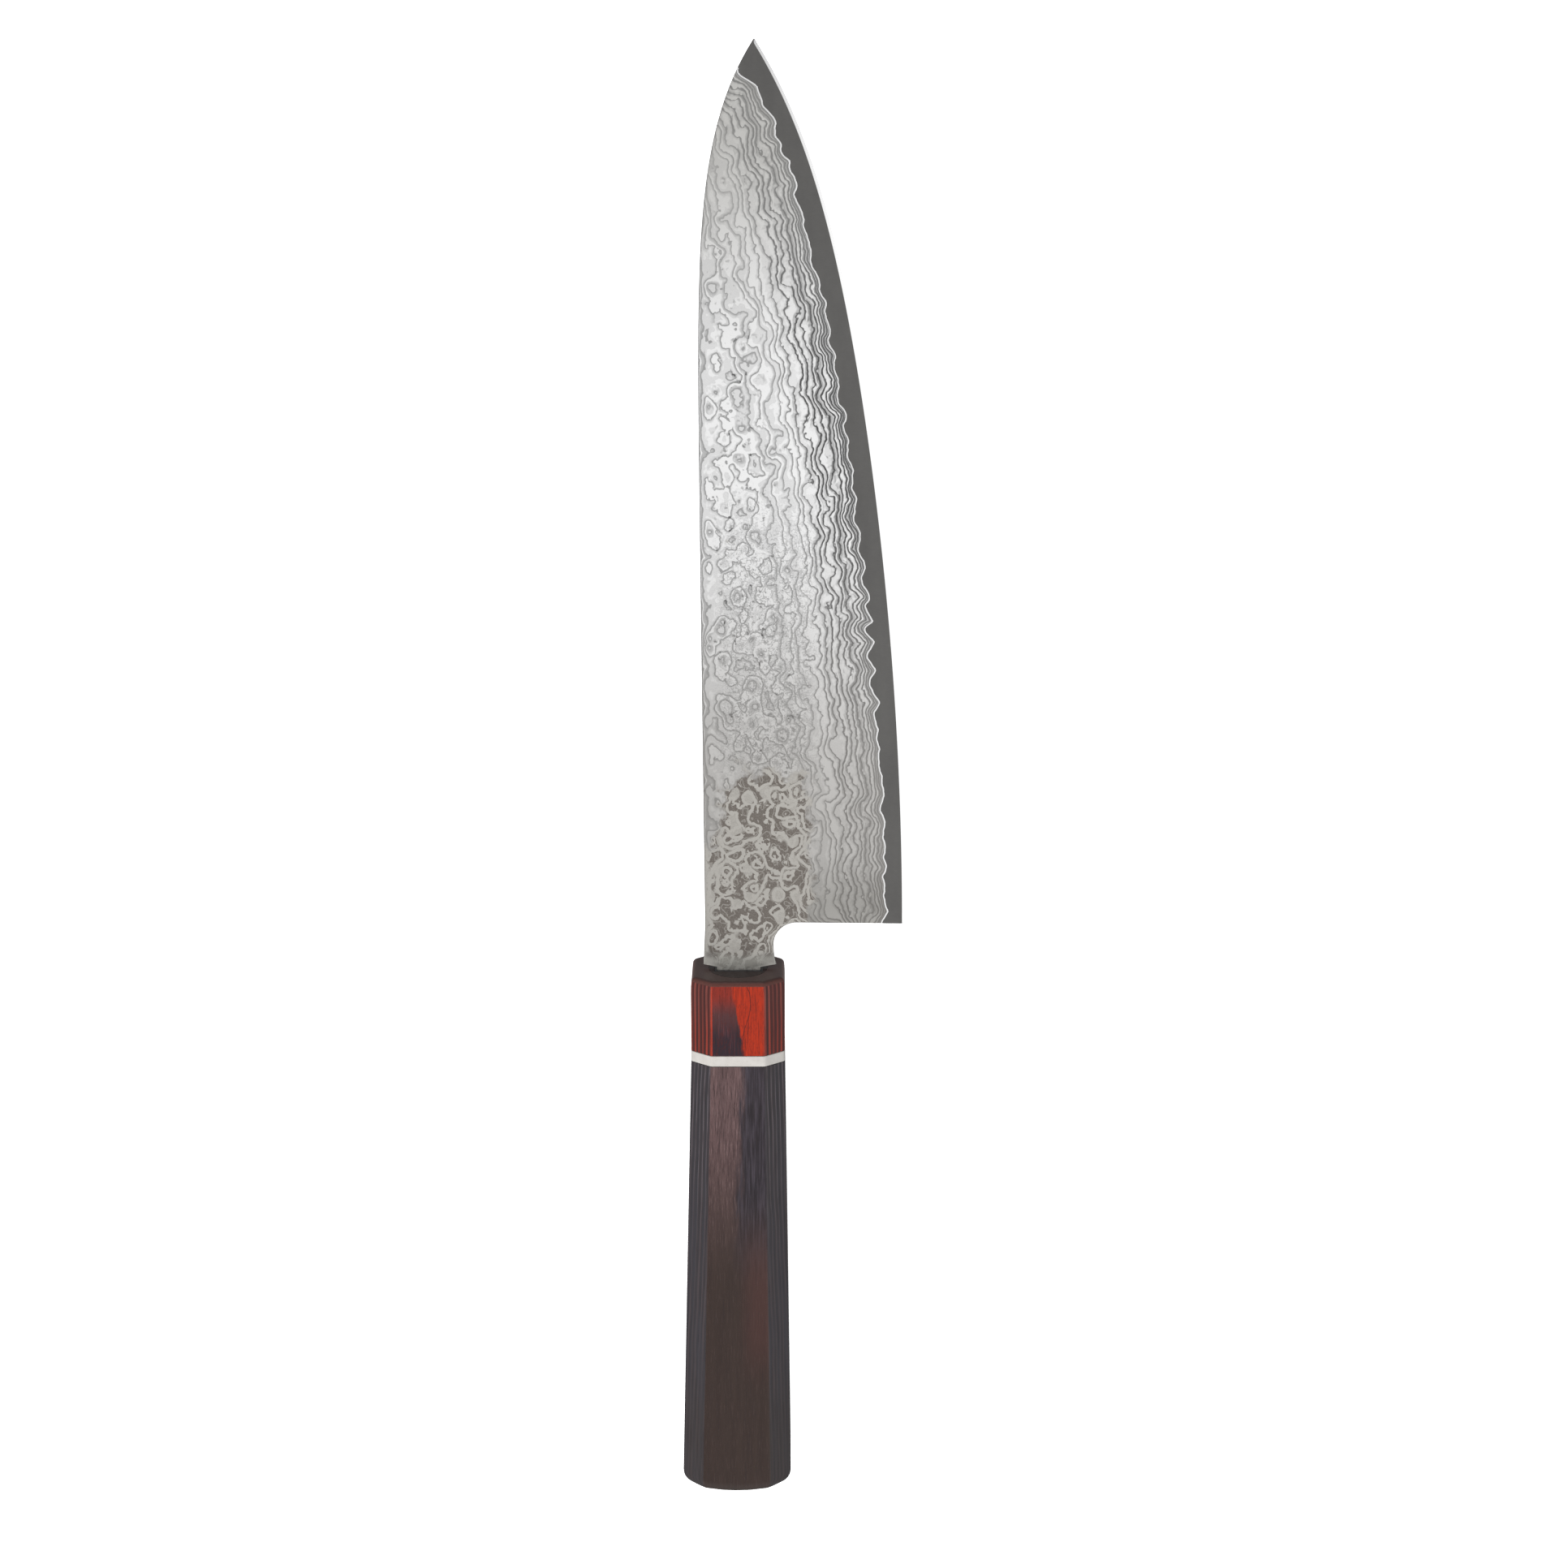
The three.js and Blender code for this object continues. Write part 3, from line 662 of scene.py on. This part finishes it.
# ---- blade ----
# The crests and troughs of the cladding's run-out: millimetres above the heel, width of the bare strip.
CLADDING_LINE = [
    (0, 5.4), (3, 4.1), (7, 4.9), (9, 4.6), (11.5, 5.0), (14.5, 4.2), (17, 4.8), (19, 4.3), (22, 4.8),
    (25.5, 4.3), (29, 5.3), (32, 4.3), (36, 4.6), (40.5, 5.2), (43.5, 4.9), (46, 5.3), (48.5, 5.0),
    (52, 5.7), (54.5, 4.3), (59.5, 6.2), (63, 4.7), (66, 6.3), (69.5, 4.5), (72.5, 6.4), (74.5, 4.4),
    (78, 5.7), (80, 4.5), (84.5, 6.0), (87.5, 4.8), (91.5, 6.0), (95, 5.1), (98.5, 6.2), (103.5, 5.1),
    (106, 5.7), (110, 5.0), (113.5, 5.8), (117, 5.1), (119.5, 5.8), (123, 4.7), (126, 6.2), (130.5, 5.3),
    (133.5, 5.8), (136.5, 5.0), (139, 6.0), (142.5, 5.1), (145.5, 5.6), (148, 4.9), (151, 5.7),
    (153.5, 5.3), (156.5, 6.3), (161, 5.6), (165, 5.9), (168, 5.4), (171.5, 6.1), (175, 4.7), (178, 5.3),
    (179.5, 4.6), (181, 5.9), (183.5, 5.3), (185, 5.8), (188.5, 4.5), (191.5, 5.7), (196, 5.2),
]
TIP_MARGIN = 0.3  # the bare strip's distance from the spine where the cladding ends
CLAD_RISE = 0.035  # the etched cladding stands this proud of the core
CORE_SINK = 0.07  # the core lies this far below the ground face under the cladding
CORE_THINNEST = 0.01

# Small ripples on the run-out: pitch, phase and size.
random = np.random.default_rng(7)
RIPPLES = [(random.uniform(1.6, 5.0), random.uniform(0.0, 2 * math.pi), random.uniform(0.01, 0.05))
           for _ in range(7)]


def share_at(y):
    """Share of the cutting edge's length that lies below a height."""
    return clamp((y - HEEL_Y) / EDGE_LENGTH)


def edge_x(s):
    return HEEL_X - (HEEL_X - TIP_X) * sum(share * s**power for share, power in EDGE_CURVE)


def spine_x(s):
    drop = TIP_X - SPINE_X + SPINE_RISE
    return SPINE_X - SPINE_RISE * s + drop * s**SPINE_DROP_POWER


LINE_HEIGHTS, LINE_WIDTHS = np.array(CLADDING_LINE, float).T


def strip_width(height):
    """Width of the bare strip at a height above the heel: level at every crest and trough."""
    above = int(np.clip(np.searchsorted(LINE_HEIGHTS, height), 1, len(LINE_HEIGHTS) - 1))
    low, high = LINE_HEIGHTS[above - 1], LINE_HEIGHTS[above]
    width = lerp(LINE_WIDTHS[above - 1], LINE_WIDTHS[above], smooth(height, low, high))
    return width + sum(size * math.sin(2 * math.pi * height / pitch + turn)
                       for pitch, turn, size in RIPPLES)


def cladding_x(y):
    """Where the cladding runs out at a height; near the tip it turns over to the spine."""
    s = share_at(y)
    turn = smooth(s, CLAD_TURN_START, CLAD_TURN_END)
    return edge_x(s) - lerp(strip_width(s * EDGE_LENGTH), edge_x(s) - spine_x(s) - TIP_MARGIN, turn)


def core_half(s):
    return CORE_HALF * (1 - 0.5 * s**3)


def tang_half(y):
    return TANG_HALF * lerp(1, TANG_TAPER, clamp(y / TANG_END_Y))


def blade_half(x, y):
    """Half of the blade's thickness at a point of its face."""
    if y < TANG_ROOT_Y:
        return tang_half(y)
    s = share_at(y)
    reach = max(edge_x(s) - x, 0.0)
    if reach < BEVEL_WIDTH:
        return lerp(CUTTING_EDGE_HALF, BEHIND_EDGE_HALF, reach / BEVEL_WIDTH)
    across = min(reach / (edge_x(s) - spine_x(s)), 1.0)
    spine_half = TIP_SPINE_HALF + (SPINE_HALF - TIP_SPINE_HALF) * (1 - s**DISTAL_POWER)
    wedge = lerp(BEHIND_EDGE_HALF, spine_half, across**GRIND_POWER)
    return lerp(wedge, TANG_HALF, 1 - smooth(y, 2.0, HEEL_Y + 4.0))


def covered_half(x, y):
    """Half of the core's thickness under the claddings."""
    return max(min(core_half(share_at(y)), blade_half(x, y) - CORE_SINK), CORE_THINNEST)


# The blade is skinned over straight sections, each from a point of the spine to one of the edge's side.
STATION_PITCH = 0.5
HEEL_STEPS = 40
FILLET_STEPS = 16
NECK_STEPS = 8
TANG_STEPS = 6
FILLET_SPINE_Y = 17.0  # where the section from the choil's outer end meets the spine
NECK_SPINE_Y = 7.0  # and the one from its inner end
NECK_FLARE_POWER = 2.5


def spine_point(y):
    if y >= HEEL_Y:
        return (spine_x(share_at(y)), y)
    flare = 1 - clamp((y - SHOULDER_Y) / (HEEL_Y - SHOULDER_Y))
    return (lerp(SPINE_X, SHOULDER_SPINE_X, flare), y)


def lower_sections():
    """Ends of the sections along the heel's underside, the choil, the neck and the tang."""
    pairs = []
    fillet_x = NECK_EDGE_X + CHOIL_RADIUS
    fillet_y = HEEL_Y + CHOIL_SLOPE - CHOIL_RADIUS
    for i in range(HEEL_STEPS + 1):
        part = i / HEEL_STEPS
        spine = spine_point(lerp(HEEL_Y + STATION_FAN, FILLET_SPINE_Y, part))
        pairs.append((spine, (lerp(HEEL_X, fillet_x, part), HEEL_Y + CHOIL_SLOPE * part)))
    for i in range(1, FILLET_STEPS + 1):
        angle = math.pi / 2 * i / FILLET_STEPS
        edge = (fillet_x - CHOIL_RADIUS * math.sin(angle), fillet_y + CHOIL_RADIUS * math.cos(angle))
        pairs.append((spine_point(lerp(FILLET_SPINE_Y, NECK_SPINE_Y, i / FILLET_STEPS)), edge))
    for i in range(1, NECK_STEPS + 1):
        part = i / NECK_STEPS
        flared = lerp(NECK_EDGE_X, SHOULDER_EDGE_X, part**NECK_FLARE_POWER)
        edge = (flared, lerp(fillet_y, SHOULDER_Y, part))
        pairs.append((spine_point(lerp(NECK_SPINE_Y, SHOULDER_Y, part)), edge))
    for i in range(TANG_STEPS + 1):
        part = i / TANG_STEPS
        y = lerp(TANG_ROOT_Y, TANG_END_Y, part)
        narrow = lerp(1.0, TANG_TAPER, part)
        pairs.append(((TANG_SPINE_X * narrow, y), (TANG_EDGE_X * narrow, y)))
    return pairs


def edge_sections(top):
    """The same along the cutting edge, from a share of its length down to just above the heel."""
    steps = round(top * EDGE_LENGTH / STATION_PITCH)
    pairs = []
    for i in range(steps):
        s = top * (1 - i / steps)
        lead = STATION_FAN * (1 - s) ** 3
        y = HEEL_Y + s * EDGE_LENGTH
        pairs.append((spine_point(min(y + lead, HEEL_Y + top * EDGE_LENGTH)), (edge_x(s), y)))
    return pairs


def line_share(pair):
    """How far across a section the cladding runs out on the core; 1 where it covers it all."""
    (spine_at, spine_y), (edge_at, edge_y) = pair
    if edge_y < HEEL_Y or edge_at <= cladding_x(edge_y):
        return 1.0
    if share_at(edge_y) > CLAD_TURN_END:
        return 0.0
    share = 0.9
    for _ in range(8):
        y = lerp(spine_y, edge_y, share)
        share = (cladding_x(y) - spine_at) / (edge_at - spine_at)
    return clamp(share, 0.0, 1.0)


def at(pair, share):
    """The point at a share of the way across a section."""
    (ax, ay), (bx, by) = pair
    return lerp(ax, bx, share), lerp(ay, by, share)


COVERED_COLUMNS = (0.0, 0.3, 0.6, 0.85)  # shares of the way to the run-out
STRIP_COLUMNS = (0.0, 0.25, 0.5, 0.75, 1.0)
BEVEL_COLUMNS = (0.05, 0.5, 1.0)
LEAST_BARE = 0.1
CLOSED_COLUMNS = (0.97, 0.98, 0.985, 0.99, 0.993, 0.996, 0.998, 1.0)  # where there is no bare strip


def core_ring(pair):
    """A closed section of the core: sunk under the claddings, then the bare strip and the bevel."""
    width = math.dist(*pair)
    run_out = line_share(pair)
    bare = width * (1 - run_out)
    covered = [run_out * part for part in COVERED_COLUMNS]
    covered.append(max(run_out - 0.3 / width, run_out * 0.9))
    covered.append(max(run_out - 0.02 / width, run_out * 0.95))
    strip, bevel = [], []
    edge_at, edge_y = pair[1]
    on_edge = abs(edge_at - edge_x(share_at(edge_y))) < 0.01
    if bare < LEAST_BARE:
        covered += CLOSED_COLUMNS
    else:
        turn = min(BEVEL_WIDTH + 0.05, bare * 0.6) if on_edge else 0.04 * bare
        first, last = run_out + min(0.03, bare * 0.1) / width, 1 - turn / width
        strip = [lerp(first, last, part) for part in STRIP_COLUMNS]
        bevel = [lerp(last, 1.0, part) for part in BEVEL_COLUMNS]
    top = [(*at(pair, share), covered_half(*at(pair, share))) for share in covered]
    top += [(*at(pair, share), blade_half(*at(pair, share))) for share in strip + bevel]
    bottom = [(x, y, -z) for x, y, z in reversed(top)]
    honed = [0.0] * (len(top) - len(bevel)) + [float(on_edge)] * len(bevel)
    return top + bottom, honed + honed[::-1]


# A cladding's columns of points: millimetres from the spine, and from the run-out or the outline.
SPINE_COLUMNS = (0.0, 0.12, 0.3, 0.7, 1.2, 2.0)
LINE_COLUMNS = (3.4, 2.4, 1.6, 1.1, 0.7, 0.4, 0.2, 0.08, 0.0)
MIDDLE_COLUMNS = 10
CROWDED_WIDTH = 9.0  # a narrower cladding has its outer columns drawn in
# How far each of the outermost columns is rounded down.
SPINE_EASE = {0.0: 0.05, 0.12: 0.012}
OUTLINE_EASE = {0.0: 0.12, 0.08: 0.05}
LINE_EASE = {0.0: 0.02, 0.08: 0.006}
SHOULDER_CUT_REACH = (4.2, 1.6)  # heights where the neck's ground corners start and are whole
SHOULDER_CUT_SLOPE = 0.16
LAYERS_PER_MM = 16.0  # layers that a millimetre of depth cuts through
WELD_DEPTH = 0.6  # about how deep the hidden inner face lies


def shoulder_cut(x, y):
    """Depth of the ground corners of the neck, where it narrows to the tang."""
    beside = max(TANG_SPINE_X + 0.6 - x, x - TANG_EDGE_X + 0.2, 0.0)
    return smooth(y, *SHOULDER_CUT_REACH) * SHOULDER_CUT_SLOPE * beside


def cladding_ring(pair, side):
    """A closed section of one cladding: ground and eased outside, flat on the core inside."""
    run_out = line_share(pair)
    width = math.dist(*pair) * run_out
    tight = min(1.0, width / CROWDED_WIDTH)
    far_ease = OUTLINE_EASE if run_out >= 1.0 else LINE_EASE
    outside = [(offset * tight / width, SPINE_EASE.get(offset, 0.0)) for offset in SPINE_COLUMNS]
    far = [(1 - offset * tight / width, far_ease.get(offset, 0.0)) for offset in LINE_COLUMNS]
    start, end = outside[-1][0], far[0][0]
    for i in range(1, MIDDLE_COLUMNS + 1):
        outside.append((lerp(start, end, i / (MIDDLE_COLUMNS + 1)), 0.0))
    points, depth = [], []
    for part, ease in outside + far:
        x, y = at(pair, part * run_out)
        rise = CLAD_RISE * smooth(y, 0.8, 3.0)
        cut = shoulder_cut(x, y)
        points.append((x, y, side * (blade_half(x, y) + rise - ease * tight - cut)))
        depth.append(cut * LAYERS_PER_MM)
    for part in (1.0, 0.5, 0.0):
        x, y = at(pair, part * run_out)
        points.append((x, y, side * (covered_half(x, y) + WELD_GAP)))
        depth.append(WELD_DEPTH * LAYERS_PER_MM)
    return points, depth


def distances(points, line):
    """Distance of each point from a polyline, in the plane of the blade."""
    starts, ends = line[:-1], line[1:]
    spans = ends - starts
    lengths = (spans**2).sum(1)
    best = np.full(len(points), np.inf)
    for start, span, length in zip(starts, spans, lengths):
        part = np.clip(((points - start) @ span) / max(length, 1e-9), 0, 1)
        best = np.minimum(best, ((points - start - part[:, None] * span) ** 2).sum(1))
    return np.sqrt(best)


def ramp(values, start, end):
    """smooth for an array of values."""
    part = np.clip((values - start) / (end - start), 0, 1)
    return part * part * (3 - 2 * part)


def slope_from_line(distance):
    """Layers crossed per millimetre, going away from the cladding's run-out."""
    steady = (0.36 + 0.95 * np.exp(-distance / 6.0)) * (1 - ramp(distance, 15.0, 27.0))
    return steady + 3.0 * np.exp(-distance / 0.6)


SPINE_LAYERS = 3.4  # layers that run out along the spine
SPINE_FADE = 0.9
SPINE_REACH = (205.0, 150.0)  # heights where they start, on the way down from the tip, and are whole
SPINE_CALM = 0.75  # share of the bumps that the spine's straight lines lose
CHOIL_LAYERS = 1.9  # layers that run out along the choil and the heel's underside
CHOIL_FADE = 1.5
CHOIL_REACH = (33.0, 22.0)  # distances from the tang's axis where they start and are whole
LINE_PITCH = 0.4
SPINE_PITCH = 2.0
COUNT_PITCH = 0.05
COUNT_DISTANCES = np.arange(0, 80, COUNT_PITCH)
COUNTS = np.cumsum(slope_from_line(COUNT_DISTANCES)) * COUNT_PITCH


def layer_attributes(points, depth):
    """Each point's place in the pattern, as the attributes that patterned_steel reads."""
    plane = np.array(points)[:, :2]
    x, y = plane[:, 0], plane[:, 1]
    heights = np.arange(HEEL_Y - 0.5, HEEL_Y + CLAD_TURN_END * EDGE_LENGTH, LINE_PITCH)
    line = np.array([(cladding_x(height), height) for height in heights])
    spine = np.array([spine_point(height) for height in np.arange(0, HEEL_Y + EDGE_LENGTH, SPINE_PITCH)])
    choil = np.array([edge for _, edge in lower_sections()[:-(TANG_STEPS + 1)]])
    from_line = distances(plane, line)
    by_spine = ramp(y, *SPINE_REACH) * np.exp(-distances(plane, spine) / SPINE_FADE)
    spine_fall = SPINE_LAYERS * by_spine
    choil_fall = CHOIL_LAYERS * ramp(x, *CHOIL_REACH) * np.exp(-distances(plane, choil) / CHOIL_FADE)
    count = np.interp(from_line, COUNT_DISTANCES, COUNTS) + spine_fall + choil_fall
    # the patch near the heel that patterned_steel paints darker, as painted shade of a dimmer reflection
    heel = ramp(y, 58.0, 38.0) * (1 - ramp(x, 14.0, 20.0))
    heel *= np.maximum(ramp(x, -6.0, 0.0), ramp(y, 38.0, 24.0))
    faded = ramp(y, 122.0, 100.0) * ramp(y, 40.0, 56.0) * (1 - ramp(x, 14.0, 22.0)) * ramp(x, -6.0, -1.0)
    return {
        "layers": count + np.array(depth),
        "layer_slope": slope_from_line(from_line) + spine_fall / SPINE_FADE,
        "choil_slope": choil_fall / CHOIL_FADE,
        "beside_spine": SPINE_CALM * by_spine,
        "from_line": from_line,
        "dim_heel_zone": heel,
        "faded_zone": faded,
    }


def add_blade():
    """The core and the two claddings, which mirror each other."""
    steel = patterned_steel()
    pairs = edge_sections(1 - TIP_BLUNTING) + lower_sections()
    rings = [core_ring(pair) for pair in pairs]
    points, faces = skin([ring for ring, _ in rings])
    honed = [value for _, values in rings for value in values]
    piece("core", points, faces, core_steel(), "blade_core", "core_steel", {"honed": honed})
    pairs = edge_sections(CLAD_TURN_END) + lower_sections()
    for side, hand in ((1, "left"), (-1, "right")):
        rings = [cladding_ring(pair, side) for pair in pairs]
        points, faces = skin([ring for ring, _ in rings])
        depth = [value for _, values in rings for value in values]
        piece(f"damascus_{hand}", points, faces, steel, f"cladding_{hand}", "patterned_steel",
              layer_attributes(points, depth))


# ---- handle ----
CORNER_RADIUS = 0.45
CORNER_STEPS = 3
FACET_STEPS = 4
SUPPORT = 0.35  # width of the flat strips beside a rounded corner
FRONT_ROUNDING = (0.9, 1.0)  # inset of the face, and how far back the rounding reaches
FRONT_INSET = 1.3  # of the front face's inner ring
BUTT_ROUNDING = (2.6, 3.2)
BUTT_RINGS = (0.9, 0.7, 0.45, 0.2)  # shares of the butt's rim
EDGE_BREAK = 0.08  # at the joints between ferrule, spacer and grip
SPACER_BREAK = 0.1
FERRULE_STATIONS = (1.3, 1.8, 2.4, 3.0, 3.5, 4.0, 4.5, 8.0, 12.0, FERRULE_LENGTH - 0.25)
STRAIGHT_END = 6.5  # the butt's domed rounding starts this far in front of it
BODY_STEPS = 12


def octagon(y, inset):
    """The handle's eight corners at a height, moved in by inset on every facet."""
    part = clamp((FERRULE_BACK_Y - y) / (FERRULE_BACK_Y - HANDLE_BUTT_Y))
    size = {key: lerp(FERRULE_OCTAGON[key], BUTT_OCTAGON[key], part) for key in FERRULE_OCTAGON}
    half_x, half_z = size["x"] - inset, size["z"] - inset
    cut_x, cut_z = size["cut_x"], size["cut_z"]
    facet = cut_z * size["x"] + cut_x * (size["z"] - cut_z) - inset * math.hypot(cut_x, cut_z)
    quarter = [(half_x, (facet - cut_z * half_x) / cut_x), ((facet - cut_x * half_z) / cut_z, half_z)]
    half = quarter + [(-x, z) for x, z in reversed(quarter)]
    whole = half + [(x, -z) for x, z in reversed(half)]
    ahead = clamp(1 - (HANDLE_FRONT_Y - y) / FRONT_SHOULDER)
    narrowed = 1 - FRONT_NARROWING * (1 - math.sqrt(1 - ahead**2))
    return [(x * narrowed + BUTT_SKEW * part, z) for x, z in whole]


def eased_octagon(y, inset):
    """The octagon with its eight edges rounded over, as points (x, z)."""
    corners = [Vector(corner) for corner in octagon(y, inset)]
    points = []
    for k, corner in enumerate(corners):
        before = (corners[k - 1] - corner).normalized()
        after_corner = corners[(k + 1) % 8]
        after = (after_corner - corner).normalized()
        first, last = corner + before * CORNER_RADIUS, corner + after * CORNER_RADIUS
        points.append(first + before * SUPPORT)
        for i in range(CORNER_STEPS + 1):
            part = i / CORNER_STEPS
            points.append(first.lerp(corner, part).lerp(corner.lerp(last, part), part))
        start = last + after * SUPPORT
        end = after_corner - after * (CORNER_RADIUS + SUPPORT)
        points += [start.lerp(end, i / FACET_STEPS) for i in range(FACET_STEPS)]
    return points


def outer_ring(y, inset, domed=0.0):
    """A ring of the handle's outside, bent forward away from its middle where it is domed."""
    ring = []
    for k, point in enumerate(eased_octagon(y, inset)):
        fall = domed * ((point.x - BUTT_SKEW) ** 2 + point.y**2)
        place = eased_octagon(y + fall, inset)[k] if domed else point
        ring.append((place.x, y + fall, place.y))
    return ring


def bore_ring(y, like, radius=DOWEL_RADIUS + BORE_CLEARANCE):
    """A circle round the dowel, one point for each point of the outer ring."""
    angles = [math.atan2(z, x) for x, _, z in like]
    return [(radius * math.cos(angle), y, radius * math.sin(angle)) for angle in angles]


def sleeve(rings):
    """Points and faces of a ring-shaped piece: its outside from front to back, then the dowel's bore."""
    bore = [bore_ring(ring[0][1], rings[0]) for ring in (rings[-1], rings[0])]
    return skin(rings + bore, closed=True)


def rounding(inset, back, steps=9):
    """Insets and distances behind the face, along a quarter of an ellipse, from the face outwards."""
    angles = [math.pi / 2 * i / steps for i in range(steps + 1)]
    return [(inset * (1 - math.sin(a)), back * (1 - math.cos(a))) for a in angles]


def add_ferrule():
    rings = [outer_ring(HANDLE_FRONT_Y, FRONT_INSET)]
    rings += [outer_ring(HANDLE_FRONT_Y - back, inset) for inset, back in rounding(*FRONT_ROUNDING)]
    rings += [outer_ring(HANDLE_FRONT_Y - back, 0.0) for back in FERRULE_STATIONS]
    rings += [outer_ring(FERRULE_BACK_Y + EDGE_BREAK, 0.0), outer_ring(FERRULE_BACK_Y, EDGE_BREAK)]
    piece("ferrule_wood", *sleeve(rings), red_laminate(), "ferrule", "red_laminate")


def add_spacer():
    half = [(0.0, SPACER_BREAK), (SPACER_BREAK, 0.0), (3 * SPACER_BREAK, 0.0)]
    stations = half + [(SPACER_LENGTH - back, inset) for back, inset in reversed(half)]
    rings = [outer_ring(SPACER_FRONT_Y - back, inset) for back, inset in stations]
    piece("spacer", *sleeve(rings), white_spacer(), "spacer_ring", "white_spacer")


def add_body():
    first = outer_ring(BODY_FRONT_Y, EDGE_BREAK)
    rings = [bore_ring(BORE_END_Y, first, radius) for radius in (1.5, DOWEL_RADIUS + BORE_CLEARANCE)]
    rings += [bore_ring(BODY_FRONT_Y, first), first]
    rings += [outer_ring(BODY_FRONT_Y - back, 0.0) for back in (EDGE_BREAK, 5 * EDGE_BREAK)]
    straight_end = HANDLE_BUTT_Y + STRAIGHT_END
    for i in range(1, BODY_STEPS + 1):
        rings.append(outer_ring(lerp(BODY_FRONT_Y, straight_end, i / BODY_STEPS), 0.0))
    for inset, back in reversed(rounding(*BUTT_ROUNDING)):
        rings.append(outer_ring(HANDLE_BUTT_Y + back, inset, BUTT_DOME))
    rim = rings[-1]
    for part in BUTT_RINGS:
        ring = []
        for x, _, z in rim:
            dx, dz = (x - BUTT_SKEW) * part, z * part
            fall = max(BUTT_DOME * (dx * dx + dz * dz), BUTT_FLAT_BACK)
            ring.append((BUTT_SKEW + dx, HANDLE_BUTT_Y + fall, dz))
        rings.append(ring)
    piece("handle_wood", *skin(rings), dark_laminate(), "handle_body", "dark_laminate")


def dress(node, material):
    """Gives a CAD node that stays its finished material."""
    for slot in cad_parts[node].material_slots:
        slot.material = material


# ---- studio ----
FLOOR_GAP = 0.0002
FLOOR_RADIUS = 3.2
WALL_TURN = 0.8
WALL_TOP = 4.0
STAGE_SIDES = 96
TURN_STEPS = 10


def add_stage():
    """A pale floor that turns up into a pale wall far off; in metres, unlike the pieces."""
    ground = cad_box[0][2] - FLOOR_GAP
    profile = [(FLOOR_RADIUS, ground)]
    for i in range(1, TURN_STEPS + 1):
        angle = math.pi / 2 * i / TURN_STEPS
        rise = WALL_TURN * (1 - math.cos(angle))
        profile.append((FLOOR_RADIUS + WALL_TURN * math.sin(angle), ground + rise))
    profile.append((FLOOR_RADIUS + WALL_TURN, WALL_TOP))
    angles = [2 * math.pi * i / STAGE_SIDES for i in range(STAGE_SIDES)]
    points = [(r * math.cos(a), r * math.sin(a), z) for r, z in profile for a in angles]
    faces = [tuple(range(STAGE_SIDES))]
    for level in range(len(profile) - 1):
        for i in range(STAGE_SIDES):
            low = level * STAGE_SIDES
            after = (i + 1) % STAGE_SIDES
            faces.append((low + i, low + STAGE_SIDES + i, low + STAGE_SIDES + after, low + after))
    mesh = bpy.data.meshes.new("stage")
    mesh.from_pydata(points, [], faces)
    mesh.shade_smooth()
    stage = add_object("stage", mesh)
    pale = Surface("stage_white", Roughness=0.9, Base_Color=(0.9, 0.9, 0.9, 1.0),
                   Emission_Color=(1.0, 1.0, 1.0, 1.0), Emission_Strength=0.8)
    mesh.materials.append(pale.material)
    stage.visible_glossy = False
    stage.visible_diffuse = False
    stage.visible_shadow = False


OVERHEAD_GLOW = (0.0, -0.156, 0.988)  # what the flat of the blade mirrors to the camera
OVERHEAD_STRENGTH = 0.65
SIDE_GLOW = (0.53, -0.29, 0.79)  # what the honed bevel mirrors to the camera
SIDE_STRENGTH = 0.6
LOW_SKY_STRENGTH = 0.35  # added between the horizon and about halfway up, for low views of the blade
SOFTBOX_SIZE = (1.0, 0.7)
SOFTBOX_PLACE = (-0.7, -0.2, 1.3)
SOFTBOX_WATTS = 18.5


def glow(g, way, centre, start, end):
    """Rises from 0 to 1 as a direction nears the centre; start and end are cosines of the angle."""
    facing = g.node("ShaderNodeVectorMath", operation="DOT_PRODUCT")
    g.set(facing.inputs[0], way)
    facing.inputs[1].default_value = Vector(centre).normalized()
    return g.step(facing.outputs["Value"], start, end)


def add_world():
    """Soft surround: dim below the horizon, brighter low in the sky, and two bright patches higher up."""
    world = bpy.data.worlds.new("studio")
    bpy.context.scene.world = world
    world.use_nodes = True
    g = Graph(world.node_tree)
    way = g.node("ShaderNodeTexCoord").outputs["Generated"]
    height = g.split(way)[2]
    low_sky = g.mul(g.step(height, -0.1, 0.2), g.step(height, 0.85, 0.5))
    sky = g.add(g.step(height, -0.3, 0.15, 0.3, 0.5), g.mul(low_sky, LOW_SKY_STRENGTH))
    overhead = g.mul(glow(g, way, OVERHEAD_GLOW, 0.962, 1.0), OVERHEAD_STRENGTH)
    beside = g.mul(glow(g, way, SIDE_GLOW, 0.82, 0.97), SIDE_STRENGTH)
    strength = g.add(sky, g.add(overhead, beside))
    shade = g.node("ShaderNodeBackground", {"Color": (1.0, 1.0, 1.0, 1.0), "Strength": strength})
    output = g.node("ShaderNodeOutputWorld")
    world.node_tree.links.new(shade.outputs[0], output.inputs["Surface"])


def add_softbox():
    data = bpy.data.lights.new("softbox", "AREA")
    data.shape = "RECTANGLE"
    data.size, data.size_y = SOFTBOX_SIZE
    data.energy = SOFTBOX_WATTS
    light = add_object("softbox", data)
    light.location = SOFTBOX_PLACE
    light.rotation_euler = (-light.location).to_track_quat("-Z", "Y").to_euler()
    light.visible_glossy = False


add_blade()
add_ferrule()
add_spacer()
add_body()
dress("tang_dowel", pale_wood())
dress("tang_seal", black_filler())
add_stage()
add_world()
add_softbox()
